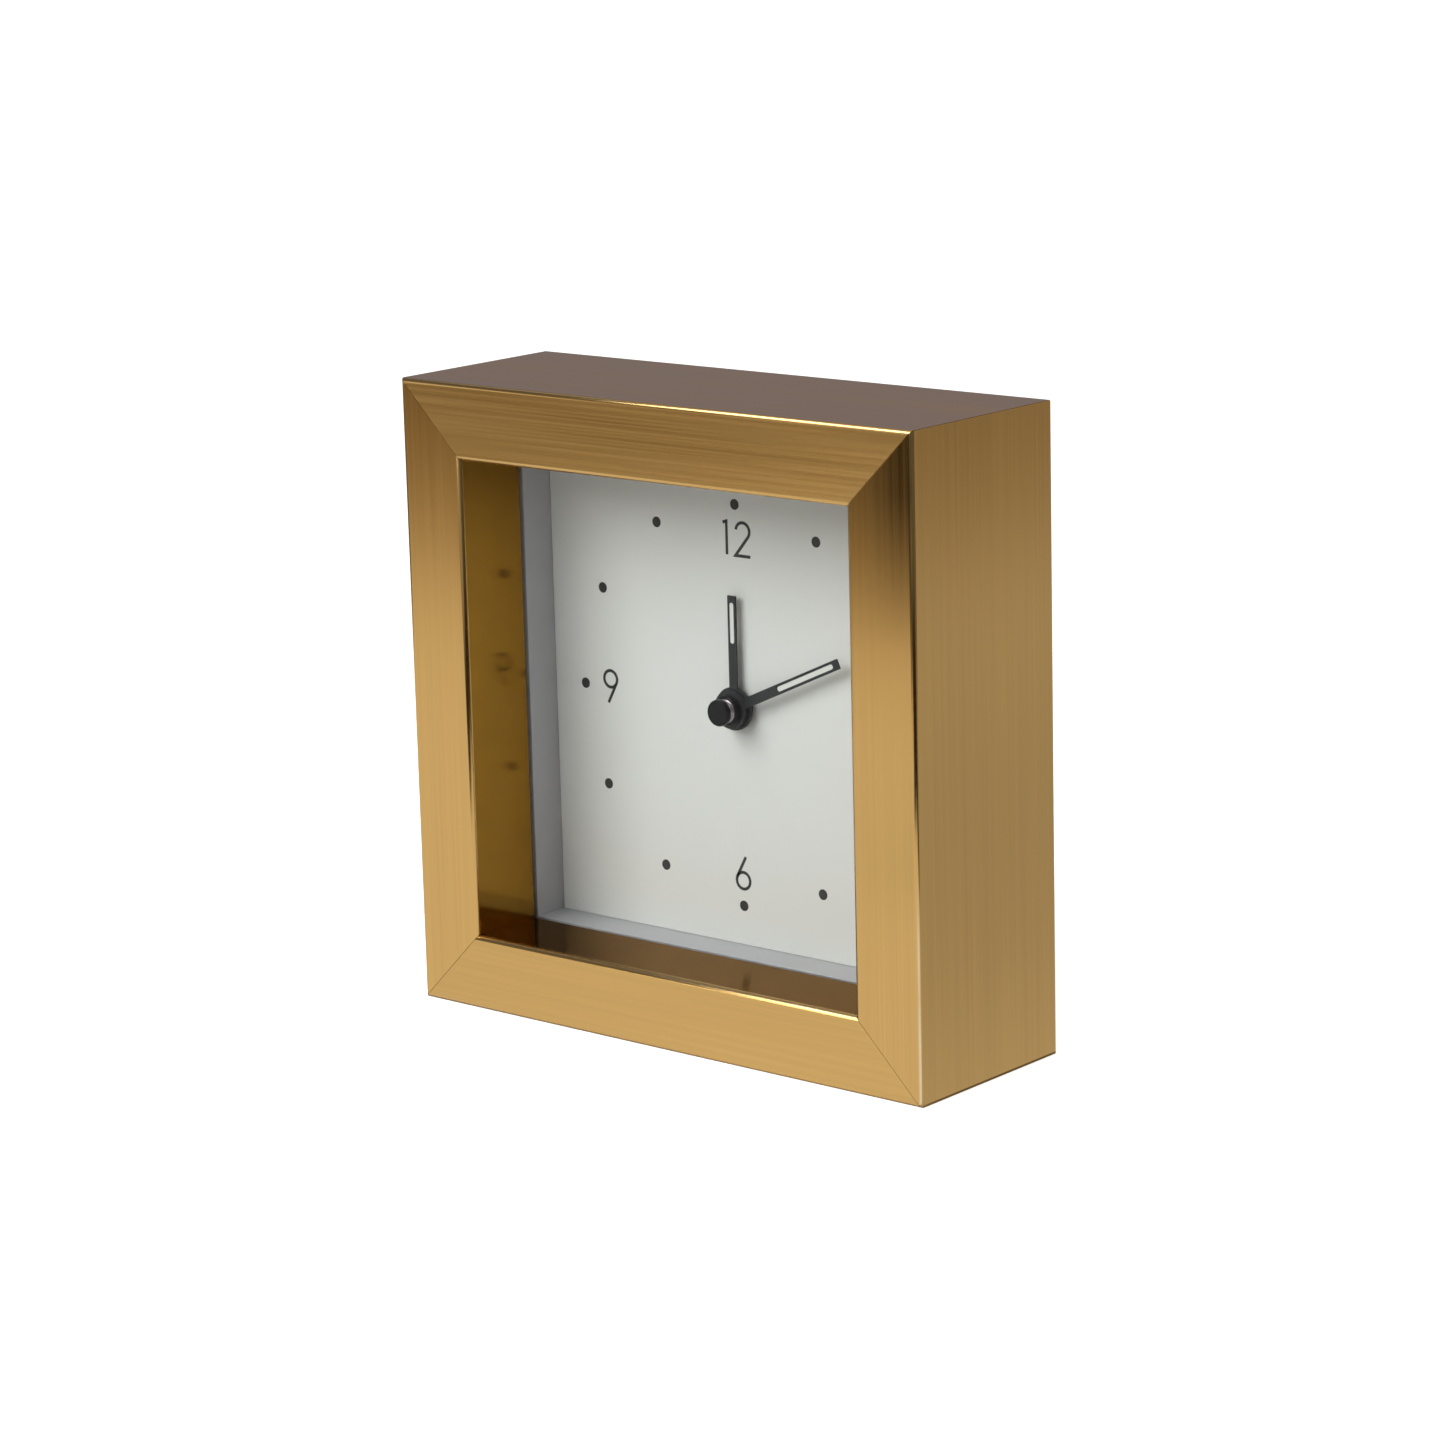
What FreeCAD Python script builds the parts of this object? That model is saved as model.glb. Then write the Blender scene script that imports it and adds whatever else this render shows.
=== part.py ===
import FreeCAD, Part
import math
import os

import Sketcher
from FreeCAD import Placement, Rotation, Vector

# A square box-frame quartz clock. X is to the viewer's right, Y runs from the front to the back and
# Z is up. The origin is the middle of the footprint, on the surface that the clock stands on.

SIZES = {
    # case
    "case_width": 130.0,
    "case_height": 130.0,
    "case_depth": 43.5,
    "face_width": 15.6,
    "reveal_depth": 17.2,
    "skin": 2.0,
    "edge_round": 0.9,
    "mitre_gap": 0.07,
    "key_leg": 30.0,
    "key_clearance": 0.2,
    "block_side": 10.0,
    "pilot_radius": 1.1,
    "pilot_depth": 8.0,
    # glass, tray and dial
    "rebate_clearance": 0.3,
    "glass_thick": 1.2,
    "dial_depth": 26.5,
    "card_thick": 0.4,
    "card_clearance": 0.1,
    "tray_floor": 1.0,
    "tray_wall": 1.6,
    # back panel
    "back_recess": 0.35,
    "panel_thick": 1.8,
    "ledge_thick": 0.8,
    # movement housing
    "movement_half": 28.2,
    "movement_low": 38.4,
    "movement_high": 95.2,
    "movement_wall": 1.2,
    "bay_high": 54.4,
    "cover_inner": 18.3,
    "cover_outer": 19.5,
    # hands
    "hand_axis": 65.0,
    "bush_radius": 3.5,
    "pipe_radius": 2.5,
    "cannon_radius": 1.6,
    "running": 0.05,
    "hub_radius": 4.4,
    "minute_hub_radius": 3.9,
    "cap_radius": 2.7,
    "cap_front": -2.2,
    "cap_round": 0.4,
    "cap_hollow": 1.0,
    "neck_radius": 2.3,
    "neck_front": -1.1,
    "neck_back": 0.3,
    "foot_radius": 3.1,
    "minute_hub_front": 1.6,
    "minute_hub_back": 2.4,
    "minute_blade_front": 1.85,
    "hour_hub_front": 2.75,
    "hour_hub_back": 3.6,
    "hour_blade_front": 3.0,
    "blade_thick": 0.4,
    "blade_width": 2.1,
    "inlay_width": 1.0,
    "hour_length": 23.0,
    "hour_inlay_from": 13.3,
    "hour_inlay_to": 21.6,
    "minute_length": 30.6,
    "minute_inlay_from": 13.6,
    "minute_inlay_to": 29.1,
    "minute_angle": 65.5,
    # battery
    "cell_radius": 7.0,
    "cell_z": 47.0,
    "cell_low": -23.55,
    "cell_high": 25.45,
    "nub_radius": 2.7,
    "nub_length": 1.0,
    # battery door
    "door_half": 29.2,
    "door_low": 37.8,
    "door_axis_y": 20.6,
    "door_axis_z": 56.2,
    "door_barrel": 0.8,
    "door_pin": 0.5,
    "door_gap": 0.3,
    # setting knob
    "knob_radius": 6.2,
    "knob_hole": 6.6,
    "knob_front": 19.8,
    "knob_back": 21.6,
    "stem_radius": 1.0,
    # keyhole
    "keyhole_z": 110.0,
    "keyhole_radius": 4.5,
    "keyhole_slot": 2.1,
    "keyhole_rise": 8.0,
}

FRONT = "(-Dims.case_depth / 2)"
BACK = "(Dims.case_depth / 2)"
SHOULDER = f"({FRONT} + Dims.reveal_depth)"
GLASS_BACK = f"({SHOULDER} + Dims.glass_thick)"
DIAL = f"({FRONT} + Dims.dial_depth)"
CARD_BACK = f"({DIAL} + Dims.card_thick)"
TRAY_BACK = f"({CARD_BACK} + Dims.tray_floor)"
PANEL_OUTER = f"({BACK} - Dims.back_recess)"
PANEL_INNER = f"({PANEL_OUTER} - Dims.panel_thick)"
DOOR_SEAT = f"({PANEL_INNER} + Dims.ledge_thick)"
OPENING = "(Dims.case_width / 2 - Dims.face_width)"
REBATE = "(Dims.case_width / 2 - Dims.skin - Dims.rebate_clearance)"
MIDDLE = "(Dims.case_height / 2)"
AXIS = "Dims.hand_axis"

doc = FreeCAD.newDocument("BoxClock")
finished = []


def make_sheet():
    """Fills the spreadsheet with the driving sizes, one alias to a row."""
    made = doc.addObject("Spreadsheet::Sheet", "Dims")
    for row, (alias, size) in enumerate(SIZES.items(), start=1):
        made.set(f"A{row}", alias)
        made.set(f"B{row}", str(size))
        made.setAlias(f"B{row}", alias)
    doc.recompute()
    return made


sheet = make_sheet()


def value(expression):
    """The number that a size expression gives now."""
    result = sheet.evalExpression(str(expression).replace("Dims.", ""))
    return float(getattr(result, "Value", result))


def bind(thing, **bindings):
    """Binds properties to expressions. A double underscore stands for a dot in the property's path."""
    for path, expression in bindings.items():
        thing.setExpression(path.replace("__", "."), str(expression))
    return thing


def place(thing, x=0, y=0, z=0):
    """Binds the position of an object."""
    return bind(thing, Placement__Base__x=x, Placement__Base__y=y, Placement__Base__z=z)


def keep(thing, label):
    """Names an object as a finished sub-part."""
    thing.Label = label
    finished.append(thing)
    return thing


# ---- primitives and booleans ----------------------------------------------------------------------


def box(name, x, y, z):
    """A box between pairs of low and high sizes along each axis."""
    made = doc.addObject("Part::Box", name)
    bind(made, Length=f"{x[1]} - ({x[0]})", Width=f"{y[1]} - ({y[0]})", Height=f"{z[1]} - ({z[0]})")
    return place(made, x[0], y[0], z[0])


TURNS = {"x": Rotation(Vector(0, 1, 0), 90), "y": Rotation(Vector(1, 0, 0), -90), "z": Rotation()}


def rod(name, along, radius, span, first, second):
    """A cylinder along one axis. first and second place it on the two other axes, in X, Y, Z order."""
    made = doc.addObject("Part::Cylinder", name)
    made.Placement = Placement(Vector(), TURNS[along])
    bind(made, Radius=radius, Height=f"{span[1]} - ({span[0]})")
    spots = {"x": (span[0], first, second), "y": (first, span[0], second), "z": (first, second, span[0])}
    return place(made, *spots[along])


def fuse(name, *shapes):
    """Several touching shapes as one."""
    made = doc.addObject("Part::MultiFuse", name)
    made.Shapes = list(shapes)
    return made


def cut(name, base, *tools):
    """base with every tool taken away."""
    made = doc.addObject("Part::Cut", name)
    made.Base = base
    made.Tool = tools[0] if len(tools) == 1 else fuse(name + "_tools", *tools)
    return made


def mirror(name, source, normal, base=(0, 0, 0)):
    """source turned over in the plane through base."""
    made = doc.addObject("Part::Mirroring", name)
    made.Source = source
    made.Normal = normal
    made.Base = base
    return made


def group(name, *members):
    """Several separate solids in one sub-part."""
    made = doc.addObject("Part::Compound", name)
    made.Links = list(members)
    return made


def four_corners(name, source):
    """source and its mirror images in the clock's other three corners."""
    across = mirror(name + "_across", source, (1, 0, 0))
    level = (0, 0, value(MIDDLE))
    below = mirror(name + "_below", source, (0, 0, 1), level)
    opposite = mirror(name + "_opposite", across, (0, 0, 1), level)
    return group(name, source, across, below, opposite)


# ---- PartDesign helpers ---------------------------------------------------------------------------


def new_body(name):
    return doc.addObject("PartDesign::Body", name)


def sketch_on(body, plane, offset=0):
    """A sketch on one of the body's own origin planes, moved along the plane's normal."""
    made = body.newObject("Sketcher::SketchObject", body.Name + "_sketch")
    origin_plane = next(f for f in body.Origin.OriginFeatures if f.Role == plane)
    made.AttachmentSupport = [(origin_plane, "")]
    made.MapMode = "FlatFace"
    made.setExpression("AttachmentOffset.Base.z", str(offset))
    return made


def outline(sketch, corners):
    """A closed run of straight lines whose corners are bound to size expressions."""
    points = [Vector(value(u), value(v), 0) for u, v in corners]
    first = sketch.GeometryCount
    last = first + len(points) - 1
    for index, point in enumerate(points):
        sketch.addGeometry(Part.LineSegment(point, points[(index + 1) % len(points)]), False)
    for line in range(first, last + 1):
        following = line + 1 if line < last else first
        sketch.addConstraint(Sketcher.Constraint("Coincident", line, 2, following, 1))
    for line, corner, point in zip(range(first, last + 1), corners, points):
        for kind, expression, size in (("DistanceX", corner[0], point.x), ("DistanceY", corner[1], point.y)):
            number = sketch.addConstraint(Sketcher.Constraint(kind, -1, 1, line, 1, size))
            sketch.setExpression(f"Constraints[{number}]", str(expression))
    return sketch


def rectangle(sketch, across, up):
    return outline(sketch, [(across[0], up[0]), (across[1], up[0]), (across[1], up[1]), (across[0], up[1])])


def circle(sketch, radius, across, up):
    """A circle whose radius and centre are bound to size expressions."""
    centre = Vector(value(across), value(up), 0)
    ring = sketch.addGeometry(Part.Circle(centre, Vector(0, 0, 1), value(radius)), False)
    constraints = (
        (Sketcher.Constraint("Radius", ring, value(radius)), radius),
        (Sketcher.Constraint("DistanceX", -1, 1, ring, 3, centre.x), across),
        (Sketcher.Constraint("DistanceY", -1, 1, ring, 3, centre.y), up),
    )
    for constraint, expression in constraints:
        number = sketch.addConstraint(constraint)
        sketch.setExpression(f"Constraints[{number}]", str(expression))
    return sketch


def pad(body, sketch, length, symmetric=False, reverse=False):
    made = body.newObject("PartDesign::Pad", body.Name + "_pad")
    made.Profile = sketch
    made.setExpression("Length", str(length))
    made.SideType = "Symmetric" if symmetric else "One side"
    made.Reversed = reverse
    doc.recompute()
    return made


def pocket(body, sketch, depth, symmetric=False):
    """Cuts a sketch out of the body, against its normal, and makes sure that it took material away."""
    before = body.Shape.Volume
    made = body.newObject("PartDesign::Pocket", body.Name + "_pocket")
    made.Profile = sketch
    made.setExpression("Length", str(depth))
    made.SideType = "Symmetric" if symmetric else "One side"
    doc.recompute()
    if not made.Shape.Volume < before:
        raise ValueError(f"the pocket in {body.Name} cuts nothing")
    return made


def round_edges(body, radius, wanted):
    """Rounds the edges of the body for which wanted(edge) is true."""
    base = body.Tip
    made = body.newObject("PartDesign::Fillet", body.Name + "_fillet")
    names = [f"Edge{n}" for n, edge in enumerate(base.Shape.Edges, start=1) if wanted(edge)]
    made.Base = (base, names)
    made.setExpression("Radius", str(radius))
    doc.recompute()
    return made


def plate(name, y, corners):
    """A body: a flat outline in X and Z, padded along Y between two sizes."""
    body = new_body(name)
    sketch = outline(sketch_on(body, "XZ_Plane", f"-({y[0]})"), corners)
    pad(body, sketch, f"{y[1]} - ({y[0]})", reverse=True)
    return body


def rectangular_corners(x, z):
    return [(x[0], z[0]), (x[1], z[0]), (x[1], z[1]), (x[0], z[1])]


def open_plate(body, y, draw):
    """Cuts what draw(sketch) draws in X and Z out of a body, between two sizes along Y."""
    sketch = sketch_on(body, "XZ_Plane", f"-({y[0]})")
    draw(sketch)
    pocket(body, sketch, f"{y[1]} - ({y[0]})")


# ---- frame ----------------------------------------------------------------------------------------


def along_x_at(spots):
    """Picks the edges that run along X through any of the given (y, z) spots."""

    def wanted(edge):
        ends = [vertex.Point for vertex in edge.Vertexes]
        return len(ends) == 2 and any(
            all(abs(end.y - y) < 1e-4 and abs(end.z - z) < 1e-4 for end in ends) for y, z in spots
        )

    return wanted


def frame_member(label, length, turn, x, z):
    """One hollow profile, made along X with its outer face at Z = 0, mitred and turned into place."""
    body = new_body(label)
    profile = sketch_on(body, "YZ_Plane")
    outline(profile, [
        (FRONT, 0), (BACK, 0), (BACK, "Dims.skin"), (SHOULDER, "Dims.skin"),
        (SHOULDER, "Dims.face_width"), (FRONT, "Dims.face_width"),
    ])
    rectangle(
        profile,
        (f"{FRONT} + Dims.skin", f"{SHOULDER} - Dims.skin"),
        ("Dims.skin", "Dims.face_width - Dims.skin"),
    )
    pad(body, profile, length, symmetric=True)
    front_edges = along_x_at([(value(FRONT), 0), (value(FRONT), value("Dims.face_width"))])
    round_edges(body, "Dims.edge_round", front_edges)
    mitres = sketch_on(body, "XZ_Plane")
    margin = 1
    top = f"Dims.face_width + {margin}"
    for side in ("", "-"):
        near = f"{side}({length} / 2 + {margin} - Dims.mitre_gap)"
        far = f"{side}({length} / 2 + {top})"
        inner = f"{side}({length} / 2 - ({top}) - Dims.mitre_gap)"
        outline(mitres, [(near, -margin), (far, -margin), (far, top), (inner, top)])
    pocket(body, mitres, "Dims.case_depth * 2", symmetric=True)
    body.Placement = Placement(Vector(), Rotation(Vector(0, 1, 0), turn))
    place(body, x, 0, z)
    keep(body, label)


def frame():
    frame_member("frame_bottom", "Dims.case_width", 0, 0, 0)
    frame_member("frame_top", "Dims.case_width", 180, 0, "Dims.case_height")
    frame_member("frame_left", "Dims.case_height", 90, "-Dims.case_width / 2", MIDDLE)
    frame_member("frame_right", "Dims.case_height", -90, "Dims.case_width / 2", MIDDLE)


def corner_keys():
    """An angle in the hollow front chamber at each corner joins two profiles."""
    y = (f"{FRONT} + Dims.skin + Dims.key_clearance", f"{SHOULDER} - Dims.skin - Dims.key_clearance")
    outer = "Dims.case_width / 2 - Dims.skin - Dims.key_clearance"
    inner = "Dims.case_width / 2 - Dims.face_width + Dims.skin + Dims.key_clearance"
    low = "Dims.skin + Dims.key_clearance"
    high = "Dims.face_width - Dims.skin - Dims.key_clearance"
    level = box("key_level", (f"{outer} - Dims.key_leg", outer), y, (low, high))
    upright = box("key_upright", (inner, outer), y, (low, f"{low} + Dims.key_leg"))
    keep(four_corners("keys", fuse("key", level, upright)), "corner_keys")


def corner_blocks():
    """A bonded block in each rear corner presses the tray forward and takes a back screw."""
    outer = "Dims.case_width / 2 - Dims.skin"
    y = (f"{GLASS_BACK} + Dims.tray_wall", PANEL_INNER)
    solid = box("block_solid", (f"{outer} - Dims.block_side", outer), y,
                ("Dims.skin", "Dims.skin + Dims.block_side"))
    centre = "Dims.case_width / 2 - Dims.skin - Dims.block_side / 2"
    pilot = rod("block_pilot", "y", "Dims.pilot_radius", (f"{PANEL_INNER} - Dims.pilot_depth", PANEL_INNER),
                centre, "Dims.skin + Dims.block_side / 2")
    keep(four_corners("blocks", cut("block", solid, pilot)), "corner_blocks")


# ---- glass, tray and dial -------------------------------------------------------------------------


def square_around_axis(half):
    return rectangular_corners((f"-{half}", half), (f"{MIDDLE} - {half}", f"{MIDDLE} + {half}"))


def front_glass():
    keep(plate("front_glass", (SHOULDER, GLASS_BACK), square_around_axis(REBATE)), "front_glass")


def dial_tray():
    """A white tray: a front flange on the glass, side walls in line with the opening, and a floor."""
    wall = f"({OPENING} + Dims.tray_wall)"
    body = plate("dial_tray", (GLASS_BACK, f"{GLASS_BACK} + Dims.tray_wall"), square_around_axis(REBATE))
    deep = sketch_on(body, "XZ_Plane", f"-({GLASS_BACK})")
    outline(deep, square_around_axis(wall))
    pad(body, deep, f"{TRAY_BACK} - ({GLASS_BACK})", reverse=True)
    open_plate(body, (GLASS_BACK, CARD_BACK), lambda s: outline(s, square_around_axis(OPENING)))
    open_plate(body, (CARD_BACK, TRAY_BACK), lambda s: circle(s, "Dims.bush_radius + Dims.running", 0, AXIS))
    keep(body, "dial_tray")


def dial_card():
    """The card that carries the dial's printing, laid in the tray."""
    half = f"({OPENING} - Dims.card_clearance)"
    body = plate("dial_card", (DIAL, CARD_BACK), square_around_axis(half))
    open_plate(body, (DIAL, CARD_BACK), lambda s: circle(s, "Dims.bush_radius + Dims.running", 0, AXIS))
    keep(body, "dial_card")


# ---- hands ----------------------------------------------------------------------------------------


def hand(label, front, length, slot, hub, bore, angle):
    """A stamped hand with a slot for its inlay and a raised hub, made upright and turned about the axis."""
    body = new_body(label)
    half = "Dims.blade_width / 2"
    blade = sketch_on(body, "XZ_Plane", f"-({front})")
    outline(blade, rectangular_corners((f"-{half}", half), (0, length)))
    pad(body, blade, "Dims.blade_thick", reverse=True)
    disc = sketch_on(body, "XZ_Plane", f"-({hub[1]})")
    circle(disc, hub[0], 0, 0)
    pad(body, disc, f"{hub[2]} - {hub[1]}", reverse=True)
    open_plate(body, (f"{hub[1]}", f"{hub[2]}"), lambda s: circle(s, bore, 0, 0))
    whole = (front, f"{front} + Dims.blade_thick")
    narrow = "Dims.inlay_width / 2"
    straight = (f"{slot[0]} + {narrow}", f"{slot[1]} - {narrow}")
    open_plate(body, whole, lambda s: outline(s, rectangular_corners((f"-{narrow}", narrow), straight)))
    for end in straight:
        open_plate(body, whole, lambda s: circle(s, narrow, 0, end))
    body.Placement = Placement(Vector(), Rotation(Vector(0, 1, 0), angle))
    place(body, 0, 0, AXIS)
    keep(body, label)


def hand_inlay(label, front, slot, angle):
    """The pale strip with round ends that fills a hand's slot."""
    narrow = "Dims.inlay_width / 2"
    y = (f"{front} + 0.05", f"{front} + Dims.blade_thick - 0.05")
    straight = (f"{slot[0]} + {narrow}", f"{slot[1]} - {narrow}")
    body = plate(label, y, rectangular_corners((f"-{narrow}", narrow), straight))
    for end in straight:
        rounded = sketch_on(body, "XZ_Plane", f"-({y[0]})")
        circle(rounded, narrow, 0, end)
        pad(body, rounded, f"{y[1]} - ({y[0]})", reverse=True)
    body.Placement = Placement(Vector(), Rotation(Vector(0, 1, 0), angle))
    place(body, 0, 0, AXIS)
    keep(body, label)


def hands():
    turn = value("Dims.minute_angle")
    hour_slot = ("Dims.hour_inlay_from", "Dims.hour_inlay_to")
    minute_slot = ("Dims.minute_inlay_from", "Dims.minute_inlay_to")
    hand("hour_hand", "Dims.hour_blade_front", "Dims.hour_length", hour_slot,
         ("Dims.hub_radius", "Dims.hour_hub_front", "Dims.hour_hub_back"), "Dims.pipe_radius", 0)
    hand_inlay("hour_hand_inlay", "Dims.hour_blade_front", hour_slot, 0)
    hand("minute_hand", "Dims.minute_blade_front", "Dims.minute_length", minute_slot,
         ("Dims.minute_hub_radius", "Dims.minute_hub_front", "Dims.minute_hub_back"),
         "Dims.cannon_radius", turn)
    hand_inlay("minute_hand_inlay", "Dims.minute_blade_front", minute_slot, turn)


def hand_cap():
    """A turned cap pressed over the end of the minute arbor: a round head, a narrower neck and a foot."""
    back = "Dims.minute_hub_front"
    head = rod("cap_head", "y", "Dims.cap_radius", ("Dims.cap_front", "Dims.neck_front"), 0, AXIS)
    neck = rod("cap_neck", "y", "Dims.neck_radius", ("Dims.neck_front", "Dims.neck_back"), 0, AXIS)
    foot = rod("cap_foot", "y", "Dims.foot_radius", ("Dims.neck_back", back), 0, AXIS)
    bore = rod("cap_bore", "y", "Dims.cannon_radius", ("Dims.cap_front + Dims.cap_hollow", back), 0, AXIS)
    hollow = cut("cap_turned", fuse("cap_solid", head, neck, foot), bore)
    doc.recompute()
    fronts = (value("Dims.cap_front"), value("Dims.neck_back"))
    reach = (value("Dims.cap_radius"), value("Dims.foot_radius"))
    rims = []
    for number, edge in enumerate(hollow.Shape.Edges, start=1):
        ends = [vertex.Point for vertex in edge.Vertexes]
        for front, radius in zip(fronts, reach):
            if all(abs(end.y - front) < 1e-6 and abs(math.hypot(end.x, end.z - value(AXIS)) - radius) < 1e-6
                   for end in ends):
                rims.append((number, value("Dims.cap_round"), value("Dims.cap_round")))
    made = doc.addObject("Part::Fillet", "cap")
    made.Base = hollow
    made.Edges = rims
    keep(made, "hand_cap")


# ---- toothed wheels -------------------------------------------------------------------------------

BACKLASH = 0.14      # share of each tooth's width left free
ROOT_DEPTH = 1.25    # root below the pitch circle, in modules
TIP_HEIGHT = 0.85    # tip above the pitch circle, in modules


class Gear:
    """A gear's data: centre in X and Z, teeth, module, tooth angle, mate's teeth and span along Y."""

    def __init__(self, centre, teeth, module, span, mate, phase=0.0):
        self.centre = centre
        self.teeth = teeth
        self.module = module
        self.span = span
        self.mate = mate
        self.phase = phase

    @property
    def pitch_radius(self):
        return self.module * self.teeth / 2

    def meshed(self, bearing, teeth, span, mate=None):
        """The gear that meshes with this one, its centre in the direction of bearing (degrees from X to Z)."""
        reach = self.module * (self.teeth + teeth) / 2
        angle = math.radians(bearing)
        x, z = self.centre
        centre = (x + reach * math.cos(angle), z + reach * math.sin(angle))
        phase = angle + math.pi + (angle - self.phase) * self.teeth / teeth - math.pi / teeth
        return Gear(centre, teeth, self.module, span, mate or self.teeth, phase)


def tooth_flank(gear):
    """Points of one flank above the pitch circle, as (radius, angle): an epicycloid cut off at the tip."""
    pitch = gear.pitch_radius
    rolling = gear.module * gear.mate / 4
    half_tooth = math.pi / (2 * gear.teeth) * (1 - BACKLASH)
    top = pitch + TIP_HEIGHT * gear.module
    points = []
    steps = 4
    roll = 0.0
    while len(points) < steps:
        reach = pitch + rolling
        x = reach * math.cos(roll) - rolling * math.cos(reach / rolling * roll)
        z = reach * math.sin(roll) - rolling * math.sin(reach / rolling * roll)
        radius = math.hypot(x, z)
        if radius >= pitch + (top - pitch) * len(points) / (steps - 1):
            points.append((radius, max(half_tooth - math.atan2(z, x), half_tooth * 0.12)))
        roll += 0.0005
    return points


def toothed_disc(gear):
    """The solid of a gear's toothed rim and web."""
    flank = tooth_flank(gear)
    root = gear.pitch_radius - ROOT_DEPTH * gear.module
    half_tooth = flank[0][1]
    side = [(root, half_tooth)] + flank
    x, z = gear.centre
    low, high = gear.span
    points = []
    for tooth in range(gear.teeth):
        middle = gear.phase + 2 * math.pi * tooth / gear.teeth
        rising = [(radius, middle - offset) for radius, offset in side]
        falling = [(radius, middle + offset) for radius, offset in reversed(side)]
        for radius, angle in rising + falling:
            points.append(Vector(x + radius * math.cos(angle), low, z + radius * math.sin(angle)))
    face = Part.Face(Part.makePolygon(points + points[:1]))
    return face.extrude(Vector(0, high - low, 0))


def shaft(centre, radius, low, high):
    """The solid of a cylinder along Y about a centre in X and Z."""
    return Part.makeCylinder(radius, high - low, Vector(centre[0], low, centre[1]), Vector(0, 1, 0))


def solid_part(label, pieces, holes=()):
    """A sub-part made of solids joined into one, less the holes."""
    shape = pieces[0].multiFuse(pieces[1:]) if len(pieces) > 1 else pieces[0]
    for hole in holes:
        shape = shape.cut(hole)
    made = doc.addObject("Part::Feature", label)
    made.Shape = shape.removeSplitter()
    made.Placement = Placement()
    keep(made, label)


PIVOT = 0.45         # pivot radius of every arbor
ARBOR = 0.6          # arbor radius between the pivots
PIVOT_FRONT = 6.75   # front end of the arbors' pivots
PLATE_BACK = 7.35    # inner face of the movement's front plate
PIVOT_BACK = 19.0    # rear end of the arbors' pivots


def arbor(centre, radius=ARBOR):
    """A plain arbor across the chamber with a pivot at each end."""
    inner = shaft(centre, radius, PLATE_BACK + 0.1, value("Dims.cover_inner") - 0.1)
    pivots = shaft(centre, PIVOT, PIVOT_FRONT, PIVOT_BACK)
    return [inner, pivots]


# The motion work: cannon pinion, minute wheel and hour wheel turn the hour hand once in 12 turns.
HAND_CENTRE = (0.0, SIZES["hand_axis"])
CANNON = Gear(HAND_CENTRE, 10, 0.5, (9.25, 10.75), 30)
MINUTE_WHEEL = CANNON.meshed(50.2, 30, (9.45, 10.55))
MINUTE_PINION = Gear(MINUTE_WHEEL.centre, 10, 0.4, (7.65, 9.45), 40)
HOUR_WHEEL = MINUTE_PINION.meshed(50.2 + 180, 40, (7.75, 8.95))
SETTING_PINION = MINUTE_WHEEL.meshed(127.6, 12, (9.25, 10.75))

# The going train: the rotor's half turn each second comes down to one turn an hour at the centre wheel.
CENTRE_WHEEL = Gear(HAND_CENTRE, 60, 0.3, (11.1, 12.0), 8)
THIRD_PINION = CENTRE_WHEEL.meshed(160, 8, (10.95, 12.4))
THIRD_WHEEL = Gear(THIRD_PINION.centre, 64, 0.25, (12.4, 13.3), 8)
SECONDS_PINION = THIRD_WHEEL.meshed(110, 8, (12.25, 13.8))
SECONDS_WHEEL = Gear(SECONDS_PINION.centre, 60, 0.2, (13.8, 14.7), 12)
STEP_PINION = SECONDS_WHEEL.meshed(100, 12, (13.65, 15.1))
STEP_WHEEL = Gear(STEP_PINION.centre, 48, 0.2, (15.1, 16.0), 8)
ROTOR_PINION = STEP_WHEEL.meshed(150, 8, (14.95, 16.6))


def cannon_pinion():
    """The minute arbor: a pinion in the chamber, a stem out through the hour pipe to the minute hand."""
    stem = shaft(HAND_CENTRE, value("Dims.cannon_radius"), value("Dims.cap_front + Dims.cap_hollow"), 9.3)
    rear = shaft(HAND_CENTRE, 1.0, 10.7, value("Dims.cover_inner") - 0.1)
    pivot = shaft(HAND_CENTRE, PIVOT, 18.0, PIVOT_BACK)
    solid_part("cannon_pinion", [toothed_disc(CANNON), stem, rear, pivot])


def clutch_spring():
    """The friction washer that presses the centre wheel against the cannon pinion."""
    washer = shaft(HAND_CENTRE, 3.2, 12.05, 12.35)
    solid_part("clutch_spring", [washer], [shaft(HAND_CENTRE, 1.0, 11.5, 13.0)])


def hour_wheel():
    """The hour wheel and the pipe that carries the hour hand, running on the minute arbor."""
    pipe = shaft(HAND_CENTRE, value("Dims.pipe_radius"), value("Dims.hour_hub_front"), 8.95)
    bore = value("Dims.cannon_radius + Dims.running")
    solid_part("hour_wheel", [toothed_disc(HOUR_WHEEL), pipe], [shaft(HAND_CENTRE, bore, 0, 12)])


def minute_wheel():
    """The wheel and pinion between the minute arbor and the hour wheel, on a fixed post."""
    bore = shaft(MINUTE_WHEEL.centre, 0.8, 7, 12)
    hub = shaft(MINUTE_WHEEL.centre, 1.5, 7.65, 10.75)
    solid_part("minute_wheel", [toothed_disc(MINUTE_WHEEL), toothed_disc(MINUTE_PINION), hub], [bore])


def setting_pinion():
    """The stem that the setting knob turns, with its pinion in mesh with the minute wheel."""
    centre = SETTING_PINION.centre
    stem = shaft(centre, value("Dims.stem_radius"), PLATE_BACK + 0.1, value("Dims.knob_back - 0.5"))
    pivot = shaft(centre, PIVOT, PIVOT_FRONT, 8)
    solid_part("setting_pinion", [toothed_disc(SETTING_PINION), stem, pivot])


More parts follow.
